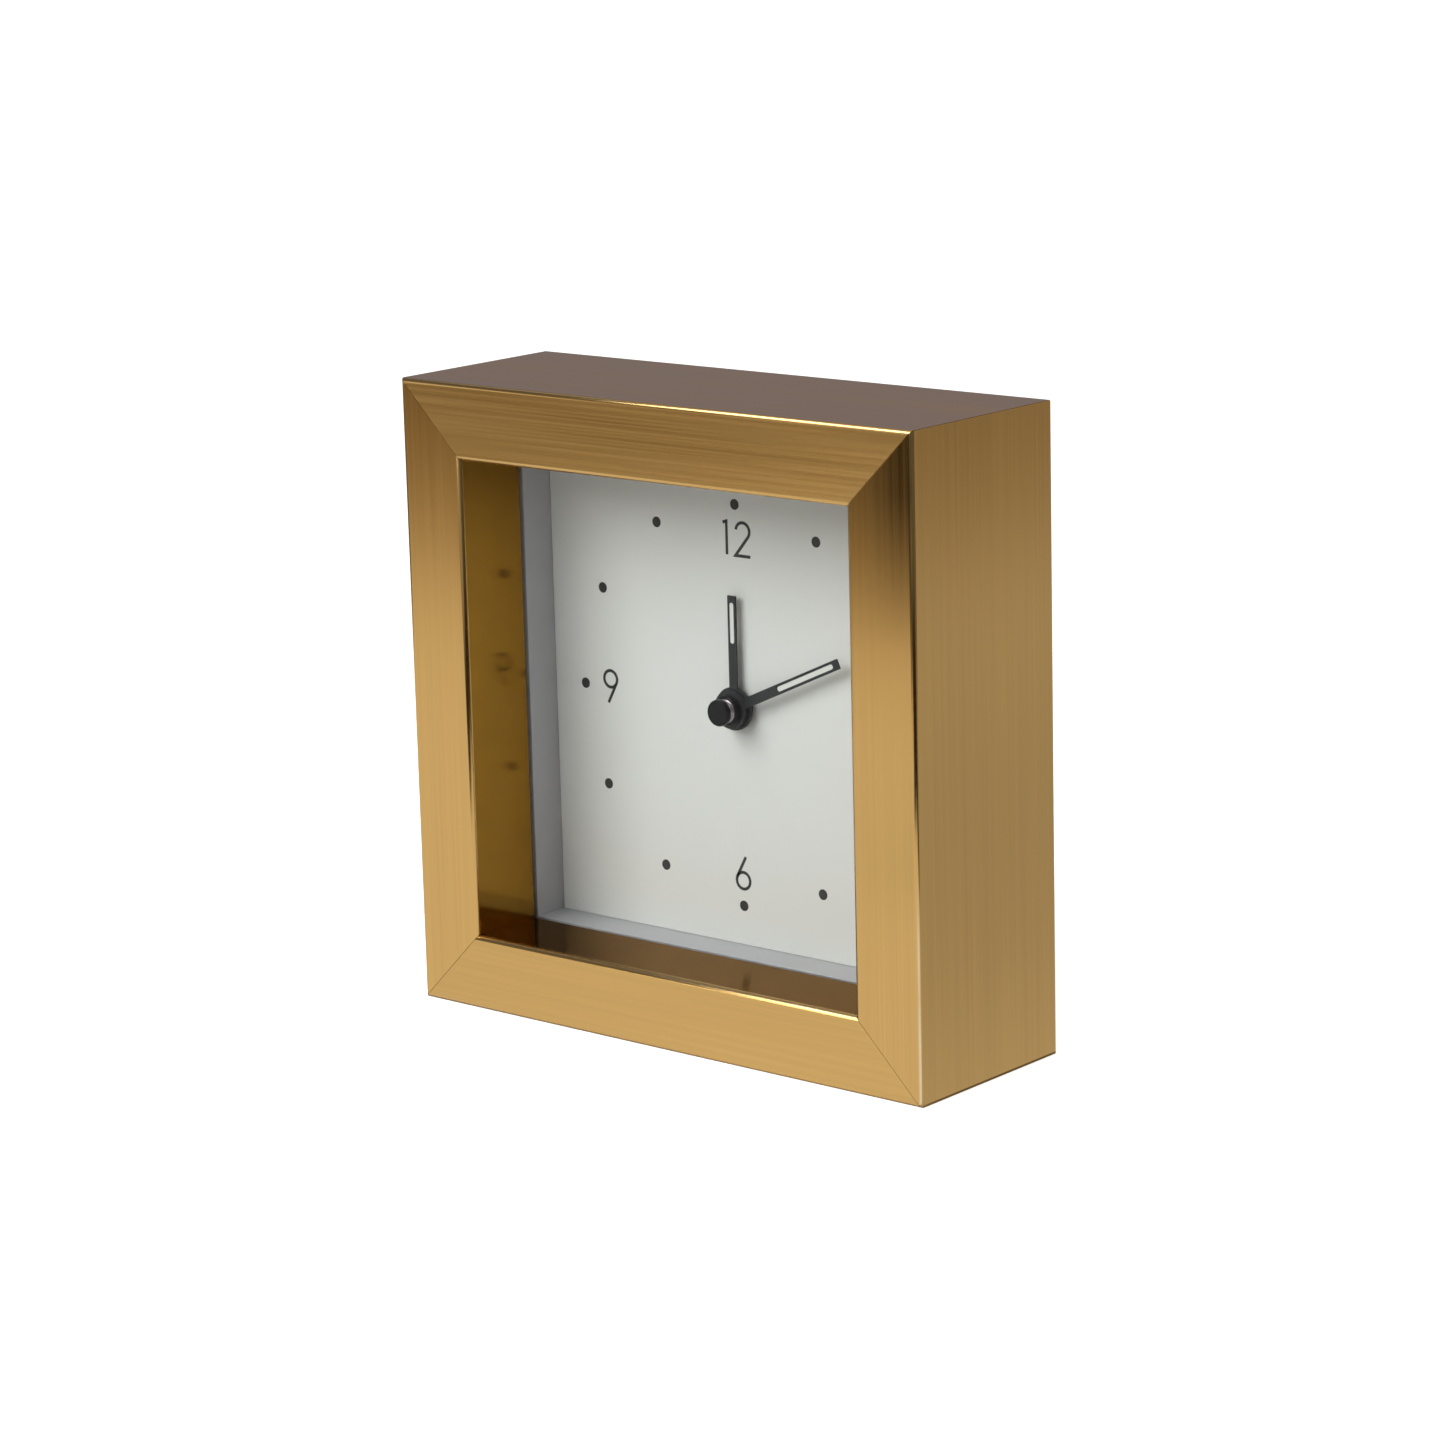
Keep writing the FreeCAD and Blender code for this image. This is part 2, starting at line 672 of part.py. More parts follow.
def setting_knob():
    """A knurled knob pressed on the stem, with a finger slot across its face."""
    x, z = SETTING_PINION.centre
    radius = value("Dims.knob_radius")
    low, high = value("Dims.knob_front"), value("Dims.knob_back")
    flutes = 36
    notches = []
    for flute in range(flutes):
        angle = 2 * math.pi * flute / flutes
        spot = (x + radius * 1.02 * math.cos(angle), z + radius * 1.02 * math.sin(angle))
        notches.append(shaft(spot, 0.32, low, high))
    stem = shaft((x, z), value("Dims.stem_radius"), low, high - 0.5)
    slot = Part.makeBox(radius * 1.5, 0.7, 1.6, Vector(x - radius * 0.75, high - 0.7, z - 0.8))
    solid_part("setting_knob", [shaft((x, z), radius, low, high)], [Part.Compound(notches), slot, stem])


def going_train():
    """Wheels between the rotor and the centre wheel, each with the pinion that drives the next."""
    bore = shaft(HAND_CENTRE, 1.0 + value("Dims.running"), 10, 13)
    hub = shaft(HAND_CENTRE, 1.9, 10.85, 12.0)
    solid_part("centre_wheel", [toothed_disc(CENTRE_WHEEL), hub], [bore])
    wheels = {
        "third_wheel": (THIRD_WHEEL, THIRD_PINION),
        "seconds_wheel": (SECONDS_WHEEL, SECONDS_PINION),
        "step_wheel": (STEP_WHEEL, STEP_PINION),
    }
    for label, (wheel, pinion) in wheels.items():
        solid_part(label, [toothed_disc(wheel), toothed_disc(pinion)] + arbor(wheel.centre))


MAGNET_SPAN = (10.1, 13.1)
MAGNET_RADIUS = 3.0


def rotor():
    """The stepping motor's rotor: a magnet on a moulded pinion and arbor."""
    centre = ROTOR_PINION.centre
    sleeve = shaft(centre, 1.2, MAGNET_SPAN[0], MAGNET_SPAN[1] + 0.5)
    solid_part("rotor_pinion", [toothed_disc(ROTOR_PINION), sleeve] + arbor(centre))
    low, high = MAGNET_SPAN
    magnet = shaft(centre, MAGNET_RADIUS, low, high)
    solid_part("rotor_magnet", [magnet], [shaft(centre, 1.2, low, high)])


# ---- movement -------------------------------------------------------------------------------------

BLOCK_MIDDLE = SIZES["skin"] + SIZES["block_side"] / 2
SCREW_X = SIZES["case_width"] / 2 - BLOCK_MIDDLE
SCREW_SPOTS = tuple((x, z) for x in (-SCREW_X, SCREW_X) for z in (BLOCK_MIDDLE, SIZES["case_height"] - BLOCK_MIDDLE))
COIL_X = 20.5
COIL_Y = 12.4
COIL_LOW = 66.0
COIL_HIGH = 85.5
COVER_POSTS = ((-24.6, 58.2), (24.6, 58.2), (8.2, 84.6))
HALF = "Dims.movement_half"
WALL = "Dims.movement_wall"
CHAMBER_LOW = f"(Dims.bay_high + {WALL})"


def motor():
    """Stator plate, coil core, bobbin and winding."""
    x, z = ROTOR_PINION.centre
    y = (11.2, 12.0)
    upper = box("stator_upper", (x, 26.6), y, (91.0, 93.2))
    side = box("stator_side", (25.0, 26.6), y, (61.6, 93.2))
    foot = box("stator_foot", (COIL_X - 2, 26.6), y, (61.6, 64.2))
    lower = box("stator_lower", (x, COIL_X + 2), y, (86.9, 89.4))
    ring = rod("stator_ring", "y", MAGNET_RADIUS + 1.7, y, x, z)
    hole = rod("stator_hole", "y", MAGNET_RADIUS + 0.5, y, x, z)
    slit = box("stator_slit", (x, 24.9), y, (89.5, 90.9))
    keep(cut("stator_plate", fuse("stator_solid", upper, side, foot, lower, ring), hole, slit), "stator")
    core = box("core", (COIL_X - 1.3, COIL_X + 1.3), (12.0, 12.8), (61.8, 89.2))
    keep(core, "coil_core")
    flanges = [
        rod(f"flange_{end}", "z", 3.4, span, COIL_X, COIL_Y)
        for end, span in (("low", (COIL_LOW, COIL_LOW + 0.8)), ("high", (COIL_HIGH - 0.8, COIL_HIGH)))
    ]
    tube = rod("bobbin_tube", "z", 1.9, (COIL_LOW, COIL_HIGH), COIL_X, COIL_Y)
    channel = box("bobbin_channel", (COIL_X - 1.3, COIL_X + 1.3), (12.0, 12.8), (COIL_LOW, COIL_HIGH))
    keep(cut("bobbin", fuse("bobbin_solid", tube, *flanges), channel), "coil_bobbin")
    wound = rod("wound", "z", 3.1, (COIL_LOW + 0.8, COIL_HIGH - 0.8), COIL_X, COIL_Y)
    inner = rod("wound_inner", "z", 1.9, (COIL_LOW + 0.8, COIL_HIGH - 0.8), COIL_X, COIL_Y)
    keep(cut("winding", wound, inner), "coil_winding")


def electronics():
    """Circuit board with its chip and the quartz can."""
    board = plate("circuit_board", (16.6, 17.4), rectangular_corners((11.5, 26.4), (60.5, 83.0)))
    keep(board, "circuit_board")
    keep(rod("chip", "y", 2.4, (17.4, 18.1), 17.5, 76.0), "control_chip")
    keep(rod("can", "z", 0.9, (62.0, 68.0), 14.2, 15.7), "quartz_can")


def movement_base():
    """The housing: a front plate with walls around the gear chamber and the battery bay."""
    outer = (f"-{HALF}", HALF)
    solid = box("base_solid", outer, (TRAY_BACK, "Dims.cover_outer"), ("Dims.movement_low", "Dims.movement_high"))
    inside = (f"-{HALF} + {WALL}", f"{HALF} - {WALL}")
    chamber = box("base_chamber", inside, (PLATE_BACK, "Dims.cover_outer"),
                  (CHAMBER_LOW, f"Dims.movement_high - {WALL}"))
    bay = box("base_bay", inside, (TRAY_BACK, "Dims.cover_outer"), (f"Dims.movement_low + {WALL}", "Dims.bay_high"))
    hollow = cut("base_hollow", solid, chamber, bay)
    bush = rod("base_bush", "y", "Dims.bush_radius", (f"{DIAL} - 0.5", TRAY_BACK), 0, AXIS)
    x, z = MINUTE_WHEEL.centre
    post = rod("base_post", "y", 0.75, (TRAY_BACK, 10.9), x, z)
    columns = [
        rod(f"base_column_{n}", "y", 1.8, (TRAY_BACK, "Dims.cover_inner"), *spot)
        for n, spot in enumerate(COVER_POSTS)
    ]
    ears = [
        box(f"base_ear_{n}", span, (TRAY_BACK, "9"), ("80", "88"))
        for n, span in enumerate(((f"-{HALF} - 6", f"-{HALF}"), (HALF, f"{HALF} + 6")))
    ]
    joined = fuse("base_joined", hollow, bush, post, *columns, *ears)
    bores = [rod("base_bore", "y", "Dims.pipe_radius + Dims.running", (0, 8), 0, AXIS)]
    for name, gear in (("setting", SETTING_PINION), ("third", THIRD_WHEEL), ("seconds", SECONDS_WHEEL),
                       ("step", STEP_WHEEL), ("rotor", ROTOR_PINION)):
        bores.append(rod(f"base_{name}_pivot", "y", f"{PIVOT} + Dims.running", (PIVOT_FRONT - 0.1, 8), *gear.centre))
    for n, spot in enumerate(COVER_POSTS):
        bores.append(rod(f"base_pilot_{n}", "y", 0.7, (10.0, 18.4), *spot))
    for n, side in enumerate((-1, 1)):
        bores.append(rod(f"base_ear_hole_{n}", "y", 1.1, (5, 9.5), f"{side} * ({HALF} + 3)", 84))
    keep(cut("base", joined, *bores), "movement_base")


def movement_cover():
    """The rear plate that closes the gear chamber and carries the rear pivots."""
    body = plate("movement_cover", ("Dims.cover_inner", "Dims.cover_outer"), rectangular_corners(
        (f"-{HALF} + {WALL} + 0.1", f"{HALF} - {WALL} - 0.1"),
        (f"{CHAMBER_LOW} + 0.1", f"Dims.movement_high - {WALL} - 0.1"),
    ))
    blind = [(CANNON, PIVOT), (THIRD_WHEEL, PIVOT), (SECONDS_WHEEL, PIVOT), (STEP_WHEEL, PIVOT), (ROTOR_PINION, PIVOT)]

    def pivots(sketch):
        for gear, radius in blind:
            circle(sketch, f"{radius} + Dims.running", *gear.centre)

    def through(sketch):
        circle(sketch, "Dims.stem_radius + Dims.running", *SETTING_PINION.centre)
        for spot in COVER_POSTS:
            circle(sketch, 0.9, *spot)

    open_plate(body, ("Dims.cover_inner", PIVOT_BACK + 0.1), pivots)
    open_plate(body, ("Dims.cover_inner", "Dims.cover_outer"), through)
    keep(body, "movement_cover")


def screw(name, x, z, head, radius, y):
    """A pan-head screw along Y with a cross recess: y holds its tip, seat and head heights."""
    tip, seat, top = y
    shank = rod(f"{name}_shank", "y", radius, (tip, seat), x, z)
    cap = rod(f"{name}_head", "y", head, (seat, top), x, z)
    slots = [
        box(f"{name}_slot_{n}", (f"{x} - {a}", f"{x} + {a}"), (f"{top} - 0.4", top), (f"{z} - {b}", f"{z} + {b}"))
        for n, (a, b) in enumerate(((head * 0.6, 0.18), (0.18, head * 0.6)))
    ]
    return cut(name, fuse(f"{name}_solid", shank, cap), *slots)


def screws():
    """Small screws of the cover, the movement's ears and the back panel."""
    cover = [screw(f"cover_screw_{n}", *spot, 0.85, 0.7, (11, "Dims.cover_outer - 0.9", "Dims.cover_outer - 0.1"))
             for n, spot in enumerate(COVER_POSTS)]
    keep(group("cover_screw_set", *cover), "cover_screws")
    ears = [screw(f"ear_screw_{n}", f"({side} * ({HALF} + 3))", 84, 1.9, 1.0, (6.4, 9, 10))
            for n, side in enumerate((-1, 1))]
    keep(group("ear_screw_set", *ears), "movement_screws")


def contacts_and_cell():
    """Battery contacts at the ends of the bay, and the cell between them."""
    end = f"({HALF} - {WALL} - 0.1)"
    z = (42.0, 52.0)
    y = (9.0, 18.5)
    flat = box("contact_flat", (f"{end} - 0.4", end), y, z)
    keep(flat, "contact_positive")
    tab = box("contact_tab", (f"-{end}", f"-{end} + 0.4"), y, z)
    cell_y = f"({TRAY_BACK} + 0.15 + Dims.cell_radius)"
    coils = [
        rod(f"spring_turn_{n}", "x", radius, (low, low + 0.5), cell_y, "Dims.cell_z")
        for n, (radius, low) in enumerate(((3.6, -26.5), (3.0, -25.5), (2.4, -24.5)))
    ]
    stem = rod("spring_stem", "x", 1.2, (f"-{end} + 0.4", "Dims.cell_low"), cell_y, "Dims.cell_z")
    keep(fuse("contact_spring", tab, stem, *coils), "contact_negative")
    can = rod("cell_can", "x", "Dims.cell_radius", ("Dims.cell_low", "Dims.cell_high"), cell_y, "Dims.cell_z")
    nub = rod("cell_nub", "x", "Dims.nub_radius",
              ("Dims.cell_high", "Dims.cell_high + Dims.nub_length"), cell_y, "Dims.cell_z")
    keep(fuse("cell", can, nub), "battery_cell")


# ---- back -----------------------------------------------------------------------------------------


def back_panel():
    """The flat back: battery opening with a sunk seat for its door, knob hole and keyhole slot."""
    body = plate("panel_sheet", (PANEL_INNER, PANEL_OUTER), square_around_axis(REBATE))
    whole = (PANEL_INNER, PANEL_OUTER)
    seat = ("Dims.door_half + Dims.door_gap", "Dims.door_low - Dims.door_gap")
    top = "Dims.door_axis_z + Dims.door_barrel + Dims.door_gap"
    bay = (f"-{HALF} + {WALL}", f"{HALF} - {WALL}")
    open_plate(body, (DOOR_SEAT, PANEL_OUTER),
               lambda s: rectangle(s, (f"-({seat[0]})", seat[0]), (seat[1], top)))
    open_plate(body, whole, lambda s: rectangle(s, bay, (f"Dims.movement_low + {WALL} + 0.2", "Dims.bay_high - 0.2")))
    hinge_low = "Dims.door_axis_z - Dims.door_barrel - Dims.door_gap"
    open_plate(body, whole, lambda s: rectangle(s, (f"-({seat[0]})", seat[0]), (hinge_low, top)))
    open_plate(body, whole, lambda s: circle(s, "Dims.knob_hole", *SETTING_PINION.centre))
    open_plate(body, whole, lambda s: circle(s, "Dims.keyhole_radius", 0, "Dims.keyhole_z"))
    slot_low = "Dims.keyhole_z + 2"
    slot_high = "Dims.keyhole_z + Dims.keyhole_rise"
    narrow = "Dims.keyhole_slot"
    open_plate(body, whole, lambda s: rectangle(s, (f"-{narrow}", narrow), (slot_low, slot_high)))
    open_plate(body, whole, lambda s: circle(s, narrow, 0, slot_high))
    for x, z in SCREW_SPOTS:
        open_plate(body, whole, lambda s: circle(s, 1.5, x, z))
    doc.recompute()
    notch = rod("finger_notch", "y", 5, (DOOR_SEAT, PANEL_OUTER), 0, f"{seat[1]} - 1.5")
    pins = rod("door_pin_hole", "x", "Dims.door_pin + Dims.running", ("-Dims.door_half - 2", "Dims.door_half + 2"),
               "Dims.door_axis_y", "Dims.door_axis_z")
    keep(cut("panel", body, notch, pins), "back_panel")


def back_screws():
    """A screw in each corner of the back panel, its head sunk to the panel's face."""
    set_of_four = [
        screw(f"back_screw_{n}", x, z, 1.35, 1.0, (f"{PANEL_INNER} - 6", f"{PANEL_INNER} + 0.8", PANEL_OUTER))
        for n, (x, z) in enumerate(SCREW_SPOTS)
    ]
    keep(group("back_screw_set", *set_of_four), "back_screws")


def battery_door():
    """A lid with a round hinge barrel and two pins at its top edge, and a latch tongue at the bottom."""
    half = ("-Dims.door_half", "Dims.door_half")
    axis = ("Dims.door_axis_y", "Dims.door_axis_z")
    lid = box("door_lid", half, (DOOR_SEAT, PANEL_OUTER), ("Dims.door_low", "Dims.door_axis_z"))
    barrel = rod("door_barrel", "x", "Dims.door_barrel", half, *axis)
    pins = rod("door_pins", "x", "Dims.door_pin", ("-Dims.door_half - 1.2", "Dims.door_half + 1.2"), *axis)
    tongue = box("door_tongue", (-5, 5), (f"{DOOR_SEAT} - 1.1", DOOR_SEAT),
                 (f"Dims.movement_low + {WALL} + 0.45", f"Dims.movement_low + {WALL} + 1.05"))
    ribs = [
        box(f"door_rib_{n}", (-6, 6), (f"{PANEL_OUTER} - 0.35", PANEL_OUTER), (40.2 + n * 1.1, 40.7 + n * 1.1))
        for n in range(4)
    ]
    keep(cut("door", fuse("door_solid", lid, barrel, pins, tongue), *ribs), "battery_door")


def write_parts():
    """Checks every object and writes each finished sub-part to its own file."""
    doc.recompute()
    for thing in doc.Objects:
        if any(flag in thing.State for flag in ("Invalid", "Error")):
            raise ValueError(f"{thing.Name} failed: {thing.State}")
    os.makedirs("parts", exist_ok=True)
    for thing in finished:
        if thing.Shape.isNull() or not thing.Shape.isValid():
            raise ValueError(f"{thing.Label} has no valid shape")
        thing.Shape.exportStep(f"parts/{thing.Label}.step")


frame()
corner_keys()
corner_blocks()
front_glass()
dial_tray()
dial_card()
hands()
hand_cap()
cannon_pinion()
clutch_spring()
hour_wheel()
minute_wheel()
setting_pinion()
setting_knob()
going_train()
rotor()
motor()
electronics()
movement_base()
movement_cover()
screws()
contacts_and_cell()
back_panel()
back_screws()
battery_door()
write_parts()
print(len(finished), "sub-parts")
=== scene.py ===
import math

import bmesh
import bpy
from bpy.props import FloatProperty, FloatVectorProperty, IntProperty, PointerProperty
from mathutils import Matrix, Vector


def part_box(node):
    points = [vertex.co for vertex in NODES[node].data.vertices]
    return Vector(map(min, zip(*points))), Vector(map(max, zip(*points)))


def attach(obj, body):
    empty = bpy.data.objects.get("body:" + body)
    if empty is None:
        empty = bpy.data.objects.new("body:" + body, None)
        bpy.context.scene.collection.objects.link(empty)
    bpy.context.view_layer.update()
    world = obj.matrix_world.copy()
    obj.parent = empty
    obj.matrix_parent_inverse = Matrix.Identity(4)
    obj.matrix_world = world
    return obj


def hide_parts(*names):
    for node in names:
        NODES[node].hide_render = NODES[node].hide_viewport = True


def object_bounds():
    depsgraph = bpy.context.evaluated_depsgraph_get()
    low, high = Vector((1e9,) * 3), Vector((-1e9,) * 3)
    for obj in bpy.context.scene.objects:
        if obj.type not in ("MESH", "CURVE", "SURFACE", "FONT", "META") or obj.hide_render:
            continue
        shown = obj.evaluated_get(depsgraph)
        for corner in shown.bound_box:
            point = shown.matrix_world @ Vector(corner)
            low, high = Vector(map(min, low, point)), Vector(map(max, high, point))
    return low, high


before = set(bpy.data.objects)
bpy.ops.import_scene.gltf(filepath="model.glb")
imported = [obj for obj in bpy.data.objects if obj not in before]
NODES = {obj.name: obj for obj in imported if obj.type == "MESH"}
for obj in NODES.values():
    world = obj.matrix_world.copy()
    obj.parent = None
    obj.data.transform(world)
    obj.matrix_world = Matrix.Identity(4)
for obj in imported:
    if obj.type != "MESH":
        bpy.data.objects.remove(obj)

bl_info = {
    "name": "Box Clock",
    "version": (1, 0, 0),
    "blender": (4, 5, 0),
    "location": "3D View > Sidebar > Box Clock",
    "description": "Finishes, dial printing and studio for a square brushed-gold quartz clock",
    "category": "Object",
}

CAD_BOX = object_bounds()
MM = 0.001
AXES = "XYZ"
MARK_WIDTH = 0.7 * MM
MARK_PROUD = 0.18 * MM
MARK_SUNK = 0.05 * MM

# Along which axis each profile is brushed, and how strong the painted highlight is on its outer and inner
# front edges.
PROFILES = {
    "frame_top": ("X", (0.3, 0.1)),
    "frame_bottom": ("X", (0.3, 0.6)),
    "frame_left": ("Z", (0.2, 0.0)),
    "frame_right": ("Z", (1.0, 0.0)),
}
BACK_SHELL = ("back_panel", "battery_door", "setting_knob")

hand_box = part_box("cannon_pinion")
HAND_AXIS = Vector(((hand_box[0].x + hand_box[1].x) / 2, 0.0, (hand_box[0].z + hand_box[1].z) / 2))
CARD_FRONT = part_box("dial_card")[0].y
CASE_FRONT = CAD_BOX[0].y
OPENING_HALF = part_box("frame_right")[0].x


# ---- sizes and colours ----------------------------------------------------------------------------


class BoxClockFinishes(bpy.types.PropertyGroup):
    """Colours and polish of the parts."""

    gold: FloatVectorProperty(
        name="Gold", description="Colour of the anodised profiles",
        subtype="COLOR", min=0.0, max=1.0, default=(0.58, 0.36, 0.123),
    )
    # Darker and more saturated than the gold: painted shade of the recess walls.
    reveal: FloatVectorProperty(
        name="Reveal", description="Colour of the unbrushed walls inside the opening",
        subtype="COLOR", min=0.0, max=1.0, default=(0.32, 0.16, 0.024),
    )
    gold_roughness: FloatProperty(
        name="Gold roughness", description="Roughness of the brushed faces",
        min=0.0, max=1.0, default=0.22,
    )
    grain_along: FloatProperty(
        name="Grain length", description="Length of one brush mark",
        unit="LENGTH", default=0.07,
    )
    grain_across: FloatProperty(
        name="Grain width", description="Width of one brush mark",
        unit="LENGTH", default=0.0004,
    )
    profile_edge: FloatProperty(
        name="Profile edge", description="Width of the broken edge on the sawn ends of the profiles",
        unit="LENGTH", default=0.00012,
    )
    tray: FloatVectorProperty(
        name="Tray", description="Colour of the tray around the dial",
        subtype="COLOR", min=0.0, max=1.0, default=(0.52, 0.52, 0.545),
    )
    card: FloatVectorProperty(
        name="Card", description="Colour of the dial card",
        subtype="COLOR", min=0.0, max=1.0, default=(0.84, 0.84, 0.815),
    )
    hands: FloatVectorProperty(
        name="Hands", description="Colour of the hands",
        subtype="COLOR", min=0.0, max=1.0, default=(0.026, 0.026, 0.028),
    )
    shell: FloatVectorProperty(
        name="Back shell", description="Colour of the back panel, door and knob",
        subtype="COLOR", min=0.0, max=1.0, default=(0.022, 0.022, 0.024),
    )


class BoxClockPrinting(bpy.types.PropertyGroup):
    """Sizes of the dial's printing."""

    ring_radius: FloatProperty(
        name="Ring", description="Radius of the ring of hour dots", unit="LENGTH", default=0.0412,
    )
    dot_radius: FloatProperty(
        name="Dot", description="Radius of one hour dot", unit="LENGTH", default=0.0011,
    )
    numeral_height: FloatProperty(
        name="Height", description="Height of the numerals", unit="LENGTH", default=0.0074,
    )
    stroke: FloatProperty(
        name="Stroke", description="Width of a numeral's line", unit="LENGTH", default=0.00064,
    )
    numeral_radius: FloatProperty(
        name="Numerals", description="Distance from the hands' axis to the middle of a numeral",
        unit="LENGTH", default=0.0343,
    )
    ink_thickness: FloatProperty(
        name="Ink", description="Thickness of the printed ink", unit="LENGTH", default=0.00003,
    )
    dots: IntProperty(name="Dots", description="Number of hour dots", min=1, default=12)


class BoxClockStudio(bpy.types.PropertyGroup):
    """The camera, the lights and the floor."""

    azimuth: FloatProperty(
        name="Azimuth", description="Direction of the camera, round from the front to the right",
        subtype="ANGLE", default=math.radians(40.33),
    )
    elevation: FloatProperty(
        name="Elevation", description="Height of the camera above the horizon",
        subtype="ANGLE", default=math.radians(12.75),
    )
    distance: FloatProperty(
        name="Distance", description="From the camera to the hands' axis", unit="LENGTH", default=0.8749,
    )
    roll: FloatProperty(
        name="Roll", description="Turn of the camera about its own view", subtype="ANGLE",
        default=math.radians(-1.46),
    )
    aim: FloatVectorProperty(
        name="Aim", description="Where the camera points, from the hands' axis",
        subtype="TRANSLATION", unit="LENGTH", default=(-0.0005, 0.0, -0.0023),
    )
    lens: FloatProperty(name="Lens", description="Focal length", unit="CAMERA", default=109.3)
    key_power: FloatProperty(
        name="Key", description="Power of the softbox at the upper left", unit="POWER", default=11.5,
    )
    key_side: FloatProperty(
        name="Key size", description="Side of that softbox", unit="LENGTH", default=0.84,
    )
    front_power: FloatProperty(
        name="Front", description="Power of the wide panel in front", unit="POWER", default=3.0,
    )
    overhead_power: FloatProperty(
        name="Overhead", description="Power of the large panel over the floor", unit="POWER", default=60.0,
    )
    surround: FloatProperty(
        name="Surround", description="Brightness of the room", min=0.0, default=0.16,
    )
    floor: FloatVectorProperty(
        name="Floor", description="Colour of the floor",
        subtype="COLOR", min=0.0, max=1.0, default=(0.93, 0.93, 0.93),
    )
    floor_glow: FloatProperty(
        name="Floor glow", description="Glow of the floor, which only the camera sees", min=0.0, default=0.75,
    )
    floor_bounce: FloatProperty(
        name="Floor bounce", description="Grey level of the floor to the clock", min=0.0, default=0.62,
    )


def finishes():
    return bpy.context.scene.box_clock_finishes


def printing():
    return bpy.context.scene.box_clock_printing


def studio():
    return bpy.context.scene.box_clock_studio


# ---- making materials -----------------------------------------------------------------------------


def grey(level):
    return (level, level, level)


def scaled(colour, share):
    return tuple(min(1.0, part * share) for part in colour)


class Finish:
    """A material in the making: one principled shader, and the patterns that drive it."""

    def __init__(self, name, metallic=0.0):
        self.material = bpy.data.materials.new(name)
        self.material.use_nodes = True
        self.tree = self.material.node_tree
        self.shader = self.tree.nodes["Principled BSDF"]
        self.shader.inputs["Metallic"].default_value = metallic
        self.spot = self.node("ShaderNodeTexCoord").outputs["Object"]

    def feed(self, socket, source):
        """Gives a socket a plain value, a colour or another node's output."""
        if isinstance(source, bpy.types.NodeSocket):
            self.tree.links.new(source, socket)
        elif socket.type == "RGBA":
            socket.default_value = (*source, 1.0)
        else:
            socket.default_value = source

    def node(self, kind, inputs=None, **settings):
        made = self.tree.nodes.new(kind)
        for name, setting in settings.items():
            setattr(made, name, setting)
        for key, source in (inputs or {}).items():
            self.feed(made.inputs[key], source)
        return made

    def set(self, **sources):
        """Feeds the shader's sockets. An underscore stands for a space in the socket's name."""
        for name, source in sources.items():
            self.feed(self.shader.inputs[name.replace("_", " ")], source)
        return self

    def math(self, operation, first, second=0.0, third=0.0):
        return self.node(
            "ShaderNodeMath", {0: first, 1: second, 2: third}, operation=operation
        ).outputs[0]

    def part(self, axis):
        """One coordinate of the spot, in metres."""
        return self.node("ShaderNodeSeparateXYZ", {0: self.spot}).outputs[AXES.index(axis)]

    def from_axis(self, centre):
        """Distance from a line through centre that runs front to back."""
        across = self.math("SUBTRACT", self.part("X"), centre.x)
        up = self.math("SUBTRACT", self.part("Z"), centre.z)
        squares = self.math("ADD", self.math("MULTIPLY", across, across), self.math("MULTIPLY", up, up))
        return self.math("SQRT", squares)

    def noise(self, size, detail=2.0, sharpness=0.5):
        """Noise whose marks have the given size in metres: one number, or one for each axis."""
        sizes = size if isinstance(size, (tuple, list)) else (size,) * 3
        stretched = self.node(
            "ShaderNodeVectorMath", {0: self.spot, 1: tuple(1 / part for part in sizes)}, operation="MULTIPLY"
        ).outputs[0]
        inputs = {"Vector": stretched, "Scale": 1.0, "Detail": detail, "Roughness": sharpness}
        return self.node("ShaderNodeTexNoise", inputs).outputs[0]

    def streaks(self, along, across, grain, detail=3.0):
        """Noise drawn out along one axis."""
        sizes = [across] * 3
        sizes[AXES.index(grain)] = along
        return self.noise(sizes, detail, 0.6)

    def cells(self, size):
        """The pebbled pattern of a moulded leather grain."""
        inputs = {"Vector": self.spot, "Scale": 1 / size}
        return self.node("ShaderNodeTexVoronoi", inputs, feature="DISTANCE_TO_EDGE").outputs["Distance"]

    def between(self, source, low, high, start=0.3, end=0.7):
        """The source's run from start to end, spread over low to high."""
        inputs = {"Value": source, "From Min": start, "From Max": end, "To Min": low, "To Max": high}
        return self.node("ShaderNodeMapRange", inputs).outputs[0]

    def blend(self, share, first, second):
        """A colour between two."""
        return self.node(
            "ShaderNodeMix", {0: share, 6: first, 7: second}, data_type="RGBA"
        ).outputs[2]

    def mix(self, share, first, second):
        """A number between two."""
        return self.node("ShaderNodeMix", {0: share, 2: first, 3: second}, data_type="FLOAT").outputs[0]

    def edges(self, radius):
        """1 on an edge sharper than the radius, and 0 on the flat."""
        rounded = self.node("ShaderNodeBevel", {"Radius": radius}, samples=4).outputs[0]
        flat = self.node("ShaderNodeNewGeometry").outputs["Normal"]
        turn = self.node("ShaderNodeVectorMath", {0: rounded, 1: flat}, operation="DOT_PRODUCT").outputs[1]
        return self.between(turn, 1.0, 0.0, 0.86, 0.995)

    def relief(self, height, depth, share=1.0, under=None):
        """Bump of the given depth in metres, laid on another relief if one is given."""
        inputs = {"Height": height, "Distance": depth, "Strength": share}
        if under is not None:
            inputs["Normal"] = under
        return self.node("ShaderNodeBump", inputs).outputs[0]


